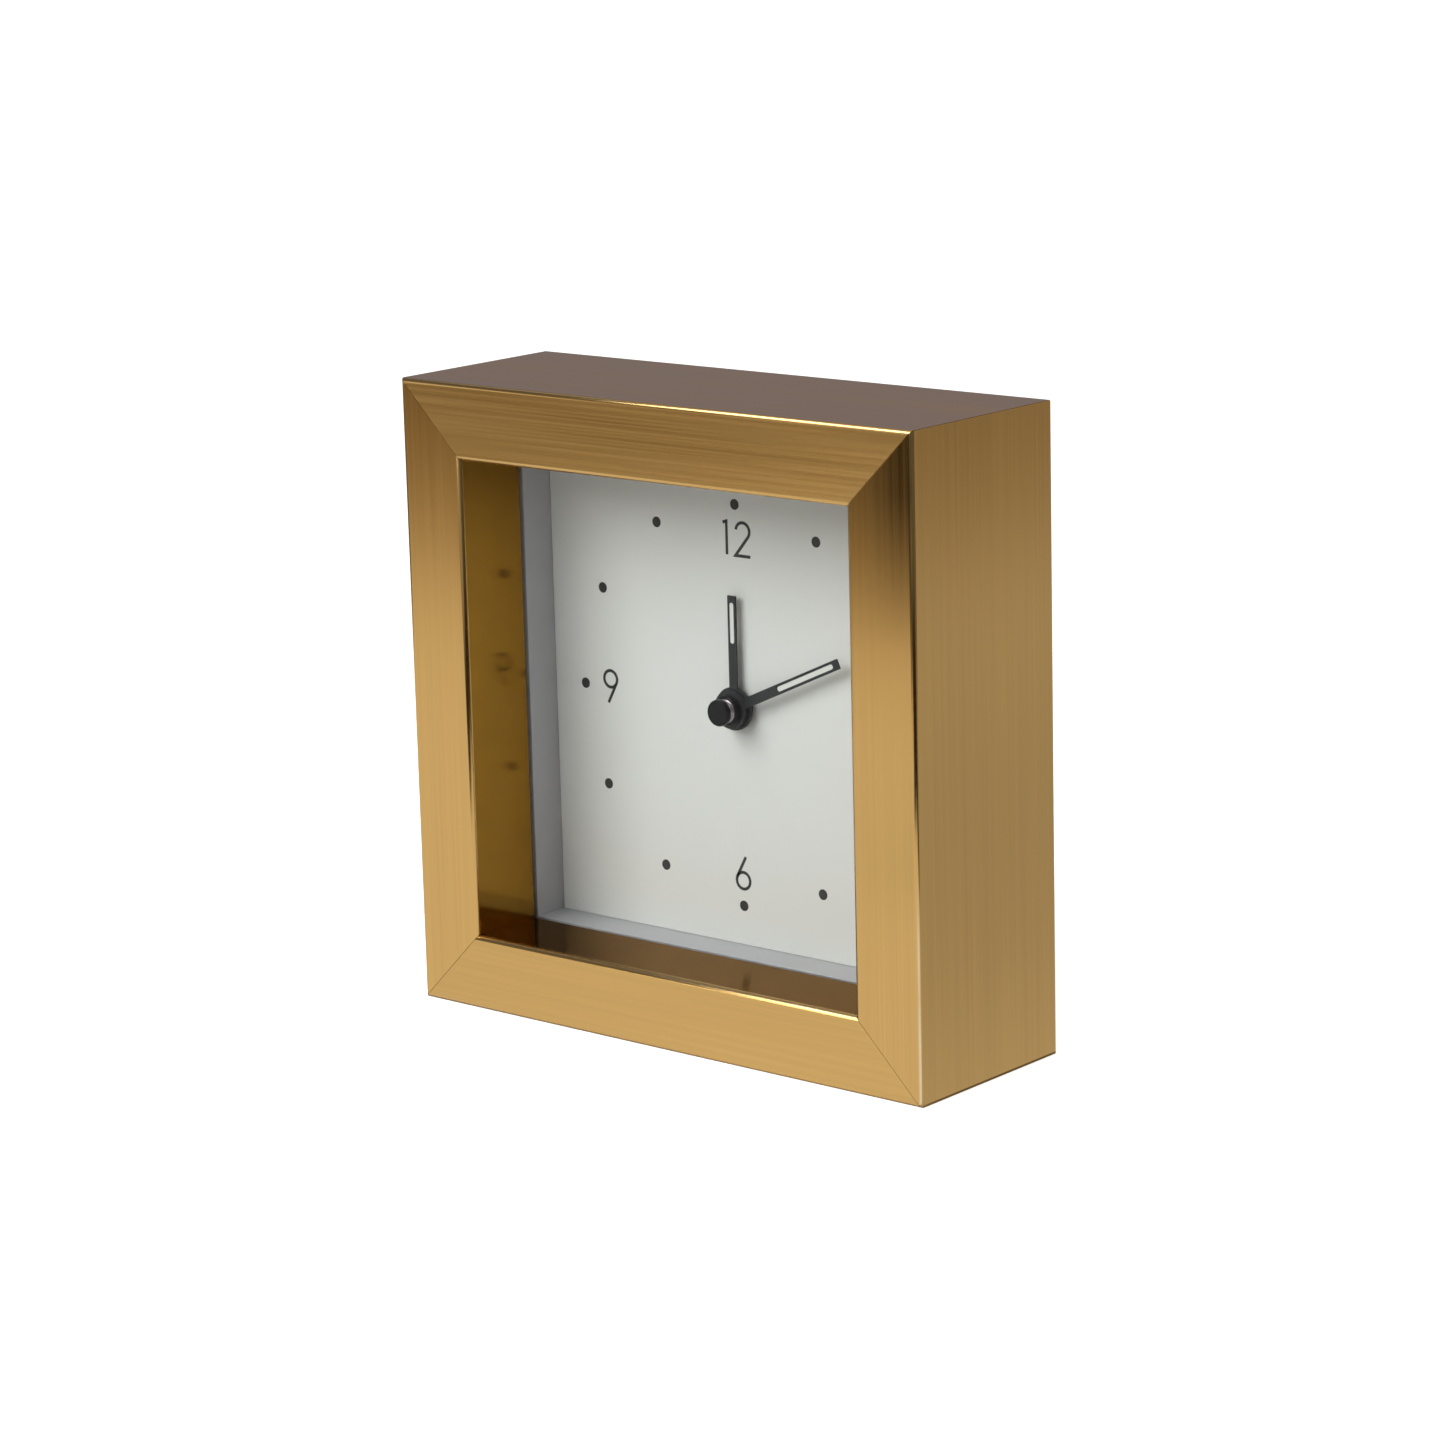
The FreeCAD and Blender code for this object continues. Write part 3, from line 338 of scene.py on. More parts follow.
def dress(names, material, edge=None, segments=2):
    """Gives CAD nodes a material and, where an edge width is given, a small round on their edges."""
    for name in names:
        piece = NODES[name]
        for holder in piece.material_slots:
            holder.material = material
        if edge:
            weld = piece.modifiers.new("weld", "WELD")
            weld.merge_threshold = 1e-6
            bevel = piece.modifiers.new("edge", "BEVEL")
            bevel.width = edge
            bevel.segments = segments
            bevel.limit_method = "ANGLE"
            bevel.angle_limit = math.radians(40)
            bevel.use_clamp_overlap = True
            bevel.harden_normals = True


# ---- finishes of the case -------------------------------------------------------------------------


def edge_highlight_and_reach(made, highlight_strength):
    """Where the front edges carry a painted highlight, outer and inner by the given strengths, and the reach
    there.

    The reach is the distance from the hands' axis, sideways or upwards, whichever is more.
    """
    sideways = made.math("ABSOLUTE", made.part("X"))
    upwards = made.math("ABSOLUTE", made.math("SUBTRACT", made.part("Z"), HAND_AXIS.z))
    reach = made.math("MAXIMUM", sideways, upwards)
    deep = made.math("SUBTRACT", made.part("Y"), CASE_FRONT)
    outer = made.math("SUBTRACT", CAD_BOX[1].x, reach)
    inner = made.math("SUBTRACT", reach, OPENING_HALF)
    edge_highlights = [
        made.between(made.math("MAXIMUM", side, deep), strength, 0.0, 0.30 * MM, 0.62 * MM)
        for side, strength in zip((outer, inner), highlight_strength)
    ]
    return made.math("MAXIMUM", *edge_highlights), reach


def brushed_gold(name, grain, highlight_strength, painted_dark_reflection=False):
    """Anodised profile, brushed along its length, with a painted highlight along its front edges. The walls
    inside the opening are left unbrushed, in a darker gold that is painted shade of the recess.
    """
    sizes = finishes()
    gold = tuple(sizes.gold)
    made = Finish(name, metallic=1.0)
    fine = made.streaks(sizes.grain_along, sizes.grain_across, grain, detail=1.0)
    coarse = made.streaks(sizes.grain_along * 1.6, sizes.grain_across * 2.4, grain, detail=1.0)
    cloud = made.streaks(0.11, 0.012, grain, detail=1.0)
    tone = made.between(fine, 0.36, 0.64)
    tone = made.math("ADD", tone, made.between(coarse, -0.10, 0.10))
    tone = made.math("ADD", tone, made.between(cloud, -0.12, 0.12))
    brushed = made.blend(tone, scaled(gold, 0.88), scaled(gold, 1.12))

    # Mask of the painted highlight along the front edges, outer and inner.
    rounded, reach = edge_highlight_and_reach(made, highlight_strength)
    # The walls inside the opening: unbrushed, with their darker gold painted as shade of the recess.
    inside = made.math("LESS_THAN", reach, OPENING_HALF + 0.05 * MM)
    behind = made.math("GREATER_THAN", made.part("Y"), CASE_FRONT + 0.9 * MM)
    reveal = made.math("MULTIPLY", inside, behind)
    smear = made.noise(0.006, 3.0)
    shaded_polish = made.blend(smear, scaled(sizes.reveal, 0.92), scaled(sizes.reveal, 1.08))

    if painted_dark_reflection:
        # Painted dark reflection: darker streaks towards the top outer corner of the front face.
        stain = made.between(made.part("Z"), 0.0, 1.0, 0.088, 0.118)
        stain = made.math("MULTIPLY", stain, made.between(made.part("X"), 0.45, 1.0, 0.052, 0.061))
        stain = made.math("MULTIPLY", stain, made.between(coarse, 0.7, 1.0))
        stain = made.math("MULTIPLY", stain, made.math("LESS_THAN", made.part("Y"), CASE_FRONT + 0.3 * MM))
        brushed = made.blend(stain, brushed, scaled(gold, 0.22))
        # Here the painted edge highlight is kept to the bottom of the profile.
        rounded = made.math("MULTIPLY", rounded, made.between(made.part("Z"), 1.0, 0.0, 0.030, 0.045))
    # Painted highlight: the front edges turn pale gold in broken streaks.
    rubbed = made.math("MULTIPLY", rounded, made.between(made.streaks(0.012, 0.004, grain), 0.35, 0.8))
    brushed = made.blend(rubbed, brushed, (0.76, 0.64, 0.44))
    # Lighter edges all round: partly wear, partly painted highlight.
    worn = made.math("MULTIPLY", made.edges(0.35 * MM), made.between(made.noise(0.003, 4.0), 0.1, 0.9))
    brushed = made.blend(worn, brushed, scaled(gold, 1.3))
    rough = made.between(fine, sizes.gold_roughness - 0.03, sizes.gold_roughness + 0.03)
    rough = made.math("ADD", rough, made.between(cloud, -0.02, 0.02))
    made.set(
        Base_Color=made.blend(reveal, brushed, shaded_polish),
        Roughness=made.mix(reveal, rough, made.between(smear, 0.10, 0.15)),
        Specular_Tint=made.blend(reveal, grey(1.0), (0.54, 0.53, 0.54)),
        Anisotropic=0.8,
        Anisotropic_Rotation=0.25,
        Tangent=made.node("ShaderNodeCombineXYZ", {AXES.index(grain): 1.0}).outputs[0],
    )
    brushing = made.math("ADD", fine, made.math("MULTIPLY", coarse, 0.6))
    fade = made.math("SUBTRACT", 1.0, reveal)
    made.set(Normal=made.relief(brushing, 0.0002 * MM, made.math("MULTIPLY", fade, 0.8)))
    return made.material


def clear_glass():
    """A flat pane that passes light and mirrors a little of the room."""
    made = Finish("clear_glass")
    tree = made.tree
    tree.nodes.remove(made.shader)
    through = made.node("ShaderNodeBsdfTransparent", {"Color": (0.965, 0.975, 0.97)}).outputs[0]
    dust = made.noise(0.004, 4.0, 0.7)
    mirror = made.node(
        "ShaderNodeBsdfAnisotropic", {"Color": grey(1.0), "Roughness": made.between(dust, 0.02, 0.06)}
    ).outputs[0]
    facing = made.node("ShaderNodeLayerWeight", {"Blend": 0.5}).outputs["Facing"]
    share = made.math("MULTIPLY_ADD", made.math("POWER", facing, 5.0), 0.5, 0.004)
    mixed = made.node("ShaderNodeMixShader", {0: share, 1: through, 2: mirror}).outputs[0]
    tree.links.new(mixed, tree.nodes["Material Output"].inputs["Surface"])
    return made.material


def moulded(name, colour, roughness, grain=0.0004, depth=0.006 * MM, variation=0.05):
    """Moulded plastic: a fine spark-eroded texture, patches of flow and paler rubbed edges."""
    made = Finish(name)
    texture = made.noise(grain, 3.0, 0.6)
    flow = made.noise(0.012, 2.0)
    worn = made.math("MULTIPLY", made.edges(0.25 * MM), made.between(made.noise(0.002, 3.0), 0.0, 0.6))
    plain = made.blend(flow, scaled(colour, 1 - variation), scaled(colour, 1 + variation))
    paler = tuple(part + (1 - part) * 0.10 for part in colour)
    made.set(
        Base_Color=made.blend(worn, plain, paler),
        Roughness=made.math("ADD", made.between(texture, -0.04, 0.05), made.between(
            flow, roughness - 0.03, roughness + 0.03)),
        Normal=made.relief(texture, depth, 0.7),
    )
    return made.material


def grained_shell():
    """The back panel's moulded leather grain, shinier on its pebbles than between them."""
    colour = tuple(finishes().shell)
    made = Finish("grained_shell")
    pebbles = made.cells(0.9 * MM)
    fine = made.noise(0.12 * MM, 2.0)
    rubbed = made.noise(0.02, 3.0, 0.6)
    worn = made.math("MULTIPLY", made.edges(0.3 * MM), made.between(made.noise(0.002, 3.0), 0.1, 0.8))
    height = made.math("ADD", made.between(pebbles, 0.0, 1.0, 0.0, 0.3), made.math("MULTIPLY", fine, 0.25))
    plain = made.blend(rubbed, scaled(colour, 0.85), scaled(colour, 1.25))
    made.set(
        Base_Color=made.blend(worn, plain, grey(0.10)),
        Roughness=made.math("ADD", made.between(pebbles, 0.12, 0.0, 0.0, 0.25), made.between(
            rubbed, 0.40, 0.50)),
        Normal=made.relief(height, 0.05 * MM, 0.6),
    )
    return made.material


def printed_card():
    """Coated white card with a faint fibre and a slight unevenness of the coating."""
    colour = tuple(finishes().card)
    made = Finish("printed_card")
    fibre = made.noise((0.0009, 0.0004, 0.0003), 4.0, 0.65)
    coating = made.noise(0.03, 2.0)
    made.set(
        Base_Color=made.blend(made.math("ADD", made.math("MULTIPLY", fibre, 0.5), made.math(
            "MULTIPLY", coating, 0.5)), scaled(colour, 0.975), scaled(colour, 1.02)),
        Roughness=made.between(coating, 0.42, 0.52),
        Normal=made.relief(fibre, 0.003 * MM, 0.6),
    )
    return made.material


def printed_ink():
    made = Finish("printed_ink")
    cover = made.noise(0.25 * MM, 3.0, 0.6)
    made.set(
        Base_Color=made.blend(cover, grey(0.020), grey(0.036)),
        Roughness=made.between(cover, 0.38, 0.52),
        Normal=made.relief(cover, 0.002 * MM, 0.5),
    )
    return made.material


# ---- finishes of the hands and the movement -------------------------------------------------------


def cap_lacquer():
    """Black lacquer on a turned cap whose neck is left as bright metal."""
    made = Finish("cap_lacquer")
    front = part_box("hand_cap")[0].y
    along = made.math("SUBTRACT", made.part("Y"), front)
    behind_head = made.math("GREATER_THAN", along, 1.05 * MM)
    before_foot = made.math("LESS_THAN", along, 2.52 * MM)
    slender = made.math("LESS_THAN", made.from_axis(HAND_AXIS), 2.4 * MM)
    neck = made.math("MULTIPLY", made.math("MULTIPLY", behind_head, before_foot), slender)
    rings = made.math("SINE", made.math("MULTIPLY", along, math.tau / (0.12 * MM)))
    dust = made.noise(0.08 * MM, 3.0, 0.7)
    black = made.blend(dust, grey(0.006), (0.011, 0.009, 0.012))
    metal = made.blend(dust, (0.66, 0.60, 0.62), (0.82, 0.76, 0.78))
    made.set(
        Base_Color=made.blend(neck, black, metal),
        Metallic=neck,
        Roughness=made.mix(neck, made.between(dust, 0.24, 0.34), 0.3),
        Specular_IOR_Level=0.15,
        Normal=made.relief(rings, 0.002 * MM, neck),
    )
    return made.material


def satin_paint(name, colour, roughness):
    """Sprayed paint on a stamped part: a light orange peel and thinner paint on the edges."""
    made = Finish(name)
    peel = made.noise(0.35 * MM, 2.0)
    dust = made.noise(0.08 * MM, 3.0, 0.7)
    worn = made.math("MULTIPLY", made.edges(0.08 * MM), made.between(dust, 0.0, 0.7))
    made.set(
        Base_Color=made.blend(worn, made.blend(peel, scaled(colour, 0.85), scaled(colour, 1.2)), grey(0.11)),
        Roughness=made.between(dust, roughness - 0.05, roughness + 0.06),
        Normal=made.relief(peel, 0.004 * MM, 0.5),
        Specular_IOR_Level=0.35,
    )
    return made.material


def luminous_fill():
    made = Finish("luminous_fill")
    powder = made.noise(0.07 * MM, 4.0, 0.7)
    made.set(
        Base_Color=made.blend(powder, (0.78, 0.79, 0.74), (0.88, 0.885, 0.84)),
        Roughness=made.between(powder, 0.55, 0.75),
        Normal=made.relief(powder, 0.006 * MM, 0.6),
    )
    return made.material


def turned_metal(name, colour, roughness, centre):
    """Metal from a lathe: rings about its axis in colour, polish and relief."""
    made = Finish(name, metallic=1.0)
    rings = made.math("SINE", made.math("MULTIPLY", made.from_axis(centre), math.tau / (0.11 * MM)))
    stain = made.noise(0.0015, 3.0)
    made.set(
        Base_Color=made.blend(stain, scaled(colour, 0.85), scaled(colour, 1.12)),
        Roughness=made.math("ADD", made.between(stain, roughness - 0.05, roughness + 0.07), made.math(
            "MULTIPLY", rings, 0.03)),
        Normal=made.relief(rings, 0.0015 * MM, 0.6),
    )
    return made.material


def plated_metal(name, colour, roughness, marks=0.0006, depth=0.002 * MM, grain=None):
    """Plated or pressed sheet metal, with faint marks and duller patches."""
    made = Finish(name, metallic=1.0)
    scratches = made.streaks(marks * 12, marks / 4, grain) if grain else made.noise(marks, 4.0, 0.65)
    patch = made.noise(0.004, 3.0)
    bright = made.math("MULTIPLY", made.edges(0.15 * MM), 0.5)
    plain = made.blend(patch, scaled(colour, 0.84), scaled(colour, 1.1))
    made.set(
        Base_Color=made.blend(bright, plain, scaled(colour, 1.3)),
        Roughness=made.math("ADD", made.between(scratches, -0.05, 0.06), made.between(
            patch, roughness - 0.04, roughness + 0.05)),
        Normal=made.relief(scratches, depth, 0.6),
    )
    return made.material


def sintered(name, colour, roughness, grit):
    """A pressed powder or cast part with an open, gritty surface."""
    made = Finish(name, metallic=0.6)
    grains = made.noise(grit, 5.0, 0.7)
    stain = made.noise(0.003, 2.0)
    made.set(
        Base_Color=made.blend(made.math("MULTIPLY", made.math("ADD", grains, stain), 0.5), scaled(
            colour, 0.7), scaled(colour, 1.25)),
        Roughness=made.between(grains, roughness - 0.1, roughness + 0.1),
        Normal=made.relief(grains, 0.02 * MM, 0.5),
    )
    return made.material


def enamelled_wire():
    made = Finish("enamelled_wire", metallic=1.0)
    tone = made.noise((0.002, 0.002, 0.0003), 3.0)
    made.set(
        Base_Color=made.blend(tone, (0.42, 0.14, 0.05), (0.68, 0.27, 0.11)),
        Roughness=made.between(tone, 0.22, 0.38),
        Normal=made.relief(made.noise(0.05 * MM, 2.0), 0.002 * MM, 0.5),
        Coat_Weight=0.5,
        Coat_Roughness=0.12,
    )
    return made.material


def solder_mask():
    """Green lacquer over copper tracks, which stand slightly proud and look paler."""
    made = Finish("solder_mask")
    blocks = made.node(
        "ShaderNodeTexVoronoi", {"Vector": made.spot, "Scale": 1 / (2.4 * MM)}, distance="CHEBYCHEV"
    ).outputs["Distance"]
    tracks = made.between(blocks, 1.0, 0.0, 0.44, 0.50)
    lacquer = made.noise(0.0008, 3.0)
    made.set(
        Base_Color=made.blend(tracks, (0.012, 0.085, 0.032), (0.03, 0.17, 0.06)),
        Roughness=made.between(lacquer, 0.22, 0.34),
        Normal=made.relief(tracks, 0.03 * MM, 0.6, made.relief(lacquer, 0.004 * MM, 0.5)),
    )
    return made.material


def cell_wrap():
    """A plain shrunk wrap in two tones with bare metal at both ends."""
    low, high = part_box("battery_cell")
    made = Finish("cell_wrap")
    along = made.part("X")
    scuff = made.noise((0.004, 0.0006, 0.0006), 4.0, 0.65)
    collar = made.math("GREATER_THAN", along, high.x - 13 * MM)
    wrap = made.blend(collar, (0.025, 0.075, 0.16), (0.60, 0.52, 0.33))
    positive = made.math("GREATER_THAN", along, high.x - 1.15 * MM)
    negative = made.math("LESS_THAN", along, low.x + 0.15 * MM)
    bare = made.math("MAXIMUM", positive, negative)
    worn = made.blend(made.between(scuff, 0.0, 0.35), wrap, grey(0.35))
    made.set(
        Base_Color=made.blend(bare, worn, (0.63, 0.62, 0.60)),
        Metallic=made.math("MAXIMUM", bare, made.math("MULTIPLY", collar, 0.85)),
        Roughness=made.between(scuff, 0.24, 0.40),
        Normal=made.relief(scuff, 0.006 * MM, 0.5),
    )
    return made.material


# ---- making meshes --------------------------------------------------------------------------------


def new_piece(name, mesh, body, material):
    """Puts a mesh in the scene as a piece that rides on a body."""
    piece = bpy.data.objects.new(name, mesh)
    bpy.context.scene.collection.objects.link(piece)
    mesh.materials.append(material)
    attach(piece, body)
    return piece


def mesh_of(name, work):
    bmesh.ops.recalc_face_normals(work, faces=work.faces)
    mesh = bpy.data.meshes.new(name)
    work.to_mesh(mesh)
    work.free()
    return mesh


def arc(centre, radius, start, end, steps=28):
    """Points on an arc, with its angles in degrees from the right and up."""
    angles = (math.radians(start + (end - start) * step / steps) for step in range(steps + 1))
    return [Vector((centre[0] + radius * math.cos(a), centre[1] + radius * math.sin(a))) for a in angles]


def side_points(points, half, closed):
    """The points moved half a line's width to each side, with mitred corners."""
    sides = []
    count = len(points)
    for index, point in enumerate(points):
        before = points[index - 1] if index or closed else point
        after = points[(index + 1) % count] if index + 1 < count or closed else point
        first = (point - before).normalized() if point != before else (after - point).normalized()
        second = (after - point).normalized() if point != after else first
        middle = (first + second).normalized()
        reach = half / max(0.3, middle.dot(first))
        across = Vector((-middle.y, middle.x)) * reach
        sides.append((point + across, point - across))
    return sides


def ribbon(work, points, width, front, back, closed=False):
    """A flat line of the given width along points in the dial's plane, from front to back in Y."""
    rings = []
    for left, right in side_points(points, width / 2, closed):
        corners = [(left, front), (right, front), (right, back), (left, back)]
        rings.append([work.verts.new((spot.x, y, spot.y)) for spot, y in corners])
    pairs = list(zip(rings, rings[1:]))
    if closed:
        pairs.append((rings[-1], rings[0]))
    else:
        work.faces.new(rings[0])
        work.faces.new(rings[-1])
    for first, second in pairs:
        for side in range(4):
            ahead = (side + 1) % 4
            work.faces.new((first[side], first[ahead], second[ahead], second[side]))


def disc(work, centre, radius, front, back, steps=40):
    """A flat round spot in the dial's plane."""
    rims = [
        [work.verts.new((spot.x, y, spot.y)) for spot in arc(centre, radius, 0, 360, steps)[:-1]]
        for y in (front, back)
    ]
    work.faces.new(rims[0])
    work.faces.new(rims[1])
    for step in range(steps):
        ahead = (step + 1) % steps
        work.faces.new((rims[0][step], rims[0][ahead], rims[1][ahead], rims[1][step]))


def tangent_point(outside, centre, radius, side):
    """Where a line from an outside point touches a circle."""
    towards = Vector(outside) - Vector(centre)
    angle = math.atan2(towards.y, towards.x) + side * math.acos(radius / towards.length)
    return Vector((centre[0] + radius * math.cos(angle), centre[1] + radius * math.sin(angle)))


def numeral_lines(height, stroke):
    """The lines of each numeral about its own middle: lists of (points, closed)."""
    top = (height - stroke) / 2
    ring = 0.235 * height
    bowl = (0.0, ring - top)
    tail = Vector((0.10 * height, top))
    six = [
        (arc(bowl, ring, 0, 360, 48)[:-1], True),
        ([tail, tangent_point(tail, bowl, ring, 1)], False),
    ]
    nine = [([-point for point in points], closed) for points, closed in six]

    stem = -0.30 * height
    flag = Vector((stem - 0.13 * height, top - 0.045 * height))
    one = [([flag, Vector((stem, top)), Vector((stem, -top))], False)]
    across = 0.235 * height
    middle = 0.26 * height
    crown = arc((middle, top - across), across, 172, -42, 30)
    two = [(crown + [Vector((middle - across * 1.12, -top)), Vector((middle + across * 1.08, -top))], False)]

    upper, lower = 0.205 * height, 0.255 * height
    three = [
        (arc((0.0, top - upper), upper, 150, -90, 28), False),
        (arc((0.0, lower - top), lower, 90, -150, 30), False),
    ]
    return {"12": one + two, "3": three, "6": six, "9": nine}


def tube(work, points, radius, sides=8):
    """A round wire along a list of points, closed at both ends."""
    rings = []
    normal = Vector((0, 0, 1))
    for index, point in enumerate(points):
        ahead = (points[min(index + 1, len(points) - 1)] - points[max(index - 1, 0)]).normalized()
        normal = (normal - ahead * normal.dot(ahead)).normalized()
        other = ahead.cross(normal)
        turns = (math.tau * step / sides for step in range(sides))
        spokes = (normal * math.cos(turn) + other * math.sin(turn) for turn in turns)
        rings.append([work.verts.new(point + spoke * radius) for spoke in spokes])
    for first, second in zip(rings, rings[1:]):
        for step in range(sides):
            ahead = (step + 1) % sides
            work.faces.new((first[step], first[ahead], second[ahead], second[step]))
    work.faces.new(rings[0])
    work.faces.new(rings[-1])


def shade_smooth(piece):
    """Smooth shading across everything but sharp corners."""
    mesh = piece.data
    mesh.polygons.foreach_set("use_smooth", [True] * len(mesh.polygons))
    mesh.set_sharp_from_angle(angle=math.radians(40))


def box_middle(node):
    low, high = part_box(node)
    return (low + high) / 2


def wind_contact(work):
    """The negative contact: a flat tab with a conical spring wound out to the cell."""
    low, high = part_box("contact_negative")
    middle = box_middle("battery_cell")
    sheet, wire = 0.4 * MM, 0.32 * MM
    tab = bmesh.ops.create_cube(work, size=1.0)["verts"]
    bmesh.ops.scale(work, vec=(sheet, high.y - low.y, high.z - low.z), verts=tab)
    tab_middle = (low.x + sheet / 2, (low.y + high.y) / 2, (low.z + high.z) / 2)
    bmesh.ops.translate(work, vec=tab_middle, verts=tab)
    wide, slim, turns, steps = 3.9 * MM, 1.5 * MM, 3.5, 160
    start, end = low.x + sheet + wire * 0.8, high.x - wire
    points = []
    for step in range(steps + 1):
        share = step / steps
        rise = min(1.0, max(0.0, share * 1.25 - 0.125))
        radius = wide + (slim - wide) * share
        angle = math.tau * turns * share
        points.append(Vector((
            start + (end - start) * rise,
            middle.y + radius * math.cos(angle),
            middle.z + radius * math.sin(angle),
        )))
    tube(work, points, wire, 10)


def raised_line(work, points, surface, lower=0.0):
    """A raised line on the back, rooted a little below its surface."""
    ribbon(work, points, MARK_WIDTH, surface - MARK_SUNK, surface + MARK_PROUD - lower)


def setting_arrow(work, knob, surface):
    """A raised arc with an arrowhead at each end, over the setting knob."""
    length, half = 2.0 * MM, 1.5 * MM
    sweep = arc((knob.x, knob.z), 9.6 * MM, 48, 132, 24)
    raised_line(work, sweep, surface)
    for tip, before in ((sweep[0], sweep[1]), (sweep[-1], sweep[-2])):
        ahead = (tip - before).normalized()
        across = Vector((-ahead.y, ahead.x))
        heel = tip - ahead * length
        raised_line(work, [heel + across * half, tip + ahead * MARK_WIDTH, heel - across * half], surface)


def polarity_marks(work, surface):
    """A raised plus and minus on the battery door, over the ends of the cell."""
    cell = box_middle("battery_cell")
    low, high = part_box("battery_cell")
    half, inset = 1.8 * MM, 5 * MM
    plus, minus = high.x - inset, low.x + inset
    for x in (plus, minus):
        raised_line(work, [Vector((x - half, cell.z)), Vector((x + half, cell.z))], surface)
    raised_line(work, [Vector((plus, cell.z - half)), Vector((plus, cell.z + half))], surface, lower=0.01 * MM)


# ---- operators ------------------------------------------------------------------------------------


class BOXCLOCK_OT_profiles(bpy.types.Operator):
    """Finish the four mitred profiles of the case"""

    bl_idname = "box_clock.profiles"
    bl_label = "Profiles"

    def execute(self, context):
        for name, (grain, highlight_strength) in PROFILES.items():
            gold = brushed_gold(f"brushed_gold_{name}", grain, highlight_strength, painted_dark_reflection=name == "frame_right")
            dress([name], gold, finishes().profile_edge)
        return {"FINISHED"}


class BOXCLOCK_OT_fixings(bpy.types.Operator):
    """Finish the corner keys, the corner blocks and the screws"""

    bl_idname = "box_clock.fixings"
    bl_label = "Fixings"

    def execute(self, context):
        dress(["corner_keys"], sintered("cast_zinc", grey(0.42), 0.5, 0.0003), 0.15 * MM)
        dress(["corner_blocks"], moulded("block_plastic", grey(0.25), 0.5), 0.15 * MM)
        dress(["back_screws", "movement_screws", "cover_screws"], plated_metal(
            "zinc_plate", (0.52, 0.53, 0.55), 0.30, 0.0004), 0.06 * MM)
        return {"FINISHED"}


class BOXCLOCK_OT_glass(bpy.types.Operator):
    """Finish the flat pane in front of the dial"""

    bl_idname = "box_clock.glass"
    bl_label = "Front glass"

    def execute(self, context):
        dress(["front_glass"], clear_glass())
        return {"FINISHED"}


class BOXCLOCK_OT_dial(bpy.types.Operator):
    """Finish the tray and the card, and print the numerals and the dots"""

    bl_idname = "box_clock.dial"
    bl_label = "Dial"

    def execute(self, context):
        sizes = printing()
        dress(["dial_tray"], moulded("tray_plastic", tuple(finishes().tray), 0.38, 0.0005), 0.15 * MM)
        dress(["dial_card"], printed_card())
        ink = printed_ink()
        back = CARD_FRONT - 0.001 * MM
        front = back - sizes.ink_thickness

        hub = Vector((HAND_AXIS.x, HAND_AXIS.z))
        work = bmesh.new()
        for step in range(sizes.dots):
            turn = math.tau * step / sizes.dots
            spoke = Vector((math.sin(turn), math.cos(turn))) * sizes.ring_radius
            disc(work, hub + spoke, sizes.dot_radius, front, back)
        new_piece("hour_dots", mesh_of("hour_dots", work), "clock_case", ink)

        places = {"12": (0, 1), "3": (1, 0), "6": (0, -1), "9": (-1, 0)}
        for name, lines in numeral_lines(sizes.numeral_height, sizes.stroke).items():
            work = bmesh.new()
            middle = hub + Vector(places[name]) * sizes.numeral_radius
            for points, closed in lines:
                ribbon(work, [middle + point for point in points], sizes.stroke, front, back, closed)
            new_piece(f"numeral_{name}", mesh_of(f"numeral_{name}", work), "clock_case", ink)
        return {"FINISHED"}


class BOXCLOCK_OT_hands(bpy.types.Operator):
    """Finish the hands, their pale inlays and the cap"""

    bl_idname = "box_clock.hands"
    bl_label = "Hands"

    def execute(self, context):
        paint = satin_paint("hand_paint", tuple(finishes().hands), 0.36)
        dress(["hour_hand", "minute_hand"], paint, 0.05 * MM)
        dress(["hour_hand_inlay", "minute_hand_inlay"], luminous_fill(), 0.04 * MM)
        dress(["hand_cap"], cap_lacquer())
        return {"FINISHED"}


class BOXCLOCK_OT_movement(bpy.types.Operator):
    """Finish the movement: its case, its wheels and arbors, its motor and its circuit"""

    bl_idname = "box_clock.movement"
    bl_label = "Movement"

    def execute(self, context):
        black = moulded("movement_plastic", grey(0.025), 0.42, 0.0003)
        acetal = moulded("acetal", (0.84, 0.82, 0.76), 0.34, 0.0006, 0.003 * MM, 0.03)
        dress(["movement_base", "movement_cover"], black, 0.12 * MM)
        dress(["hour_wheel", "minute_wheel", "setting_pinion", "centre_wheel", "third_wheel",
               "seconds_wheel", "step_wheel", "rotor_pinion", "coil_bobbin"], acetal)
        dress(["cannon_pinion"], turned_metal("turned_brass", (0.74, 0.53, 0.24), 0.22, HAND_AXIS))
        dress(["clutch_spring"], plated_metal("spring_steel", (0.60, 0.59, 0.57), 0.25))
        dress(["rotor_magnet"], sintered("ferrite", grey(0.10), 0.45, 0.0001))
        dress(["coil_core", "stator"], plated_metal("electrical_steel", grey(0.52), 0.35, 0.0008, grain="X"))
        dress(["circuit_board"], solder_mask())
        dress(["control_chip"], moulded("chip_resin", grey(0.012), 0.30, 0.0002))
        dress(["quartz_can"], plated_metal("drawn_can", grey(0.74), 0.14, 0.0003, grain="Z"))
        dress(["coil_winding"], enamelled_wire())
        return {"FINISHED"}


class BOXCLOCK_OT_battery(bpy.types.Operator):
    """Finish the cell and its contacts, and wind the conical spring"""

    bl_idname = "box_clock.battery"
    bl_label = "Battery"

    def execute(self, context):
        nickel = plated_metal("nickel_plate", (0.66, 0.64, 0.60), 0.20, 0.0004)
        dress(["battery_cell"], cell_wrap(), 0.3 * MM, 3)
        dress(["contact_positive"], nickel, 0.05 * MM)
        work = bmesh.new()
        wind_contact(work)
        wound = mesh_of("spring_contact", work)
        contact = new_piece("spring_contact", wound, "clock_case", nickel)
        shade_smooth(contact)
        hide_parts("contact_negative")
        return {"FINISHED"}


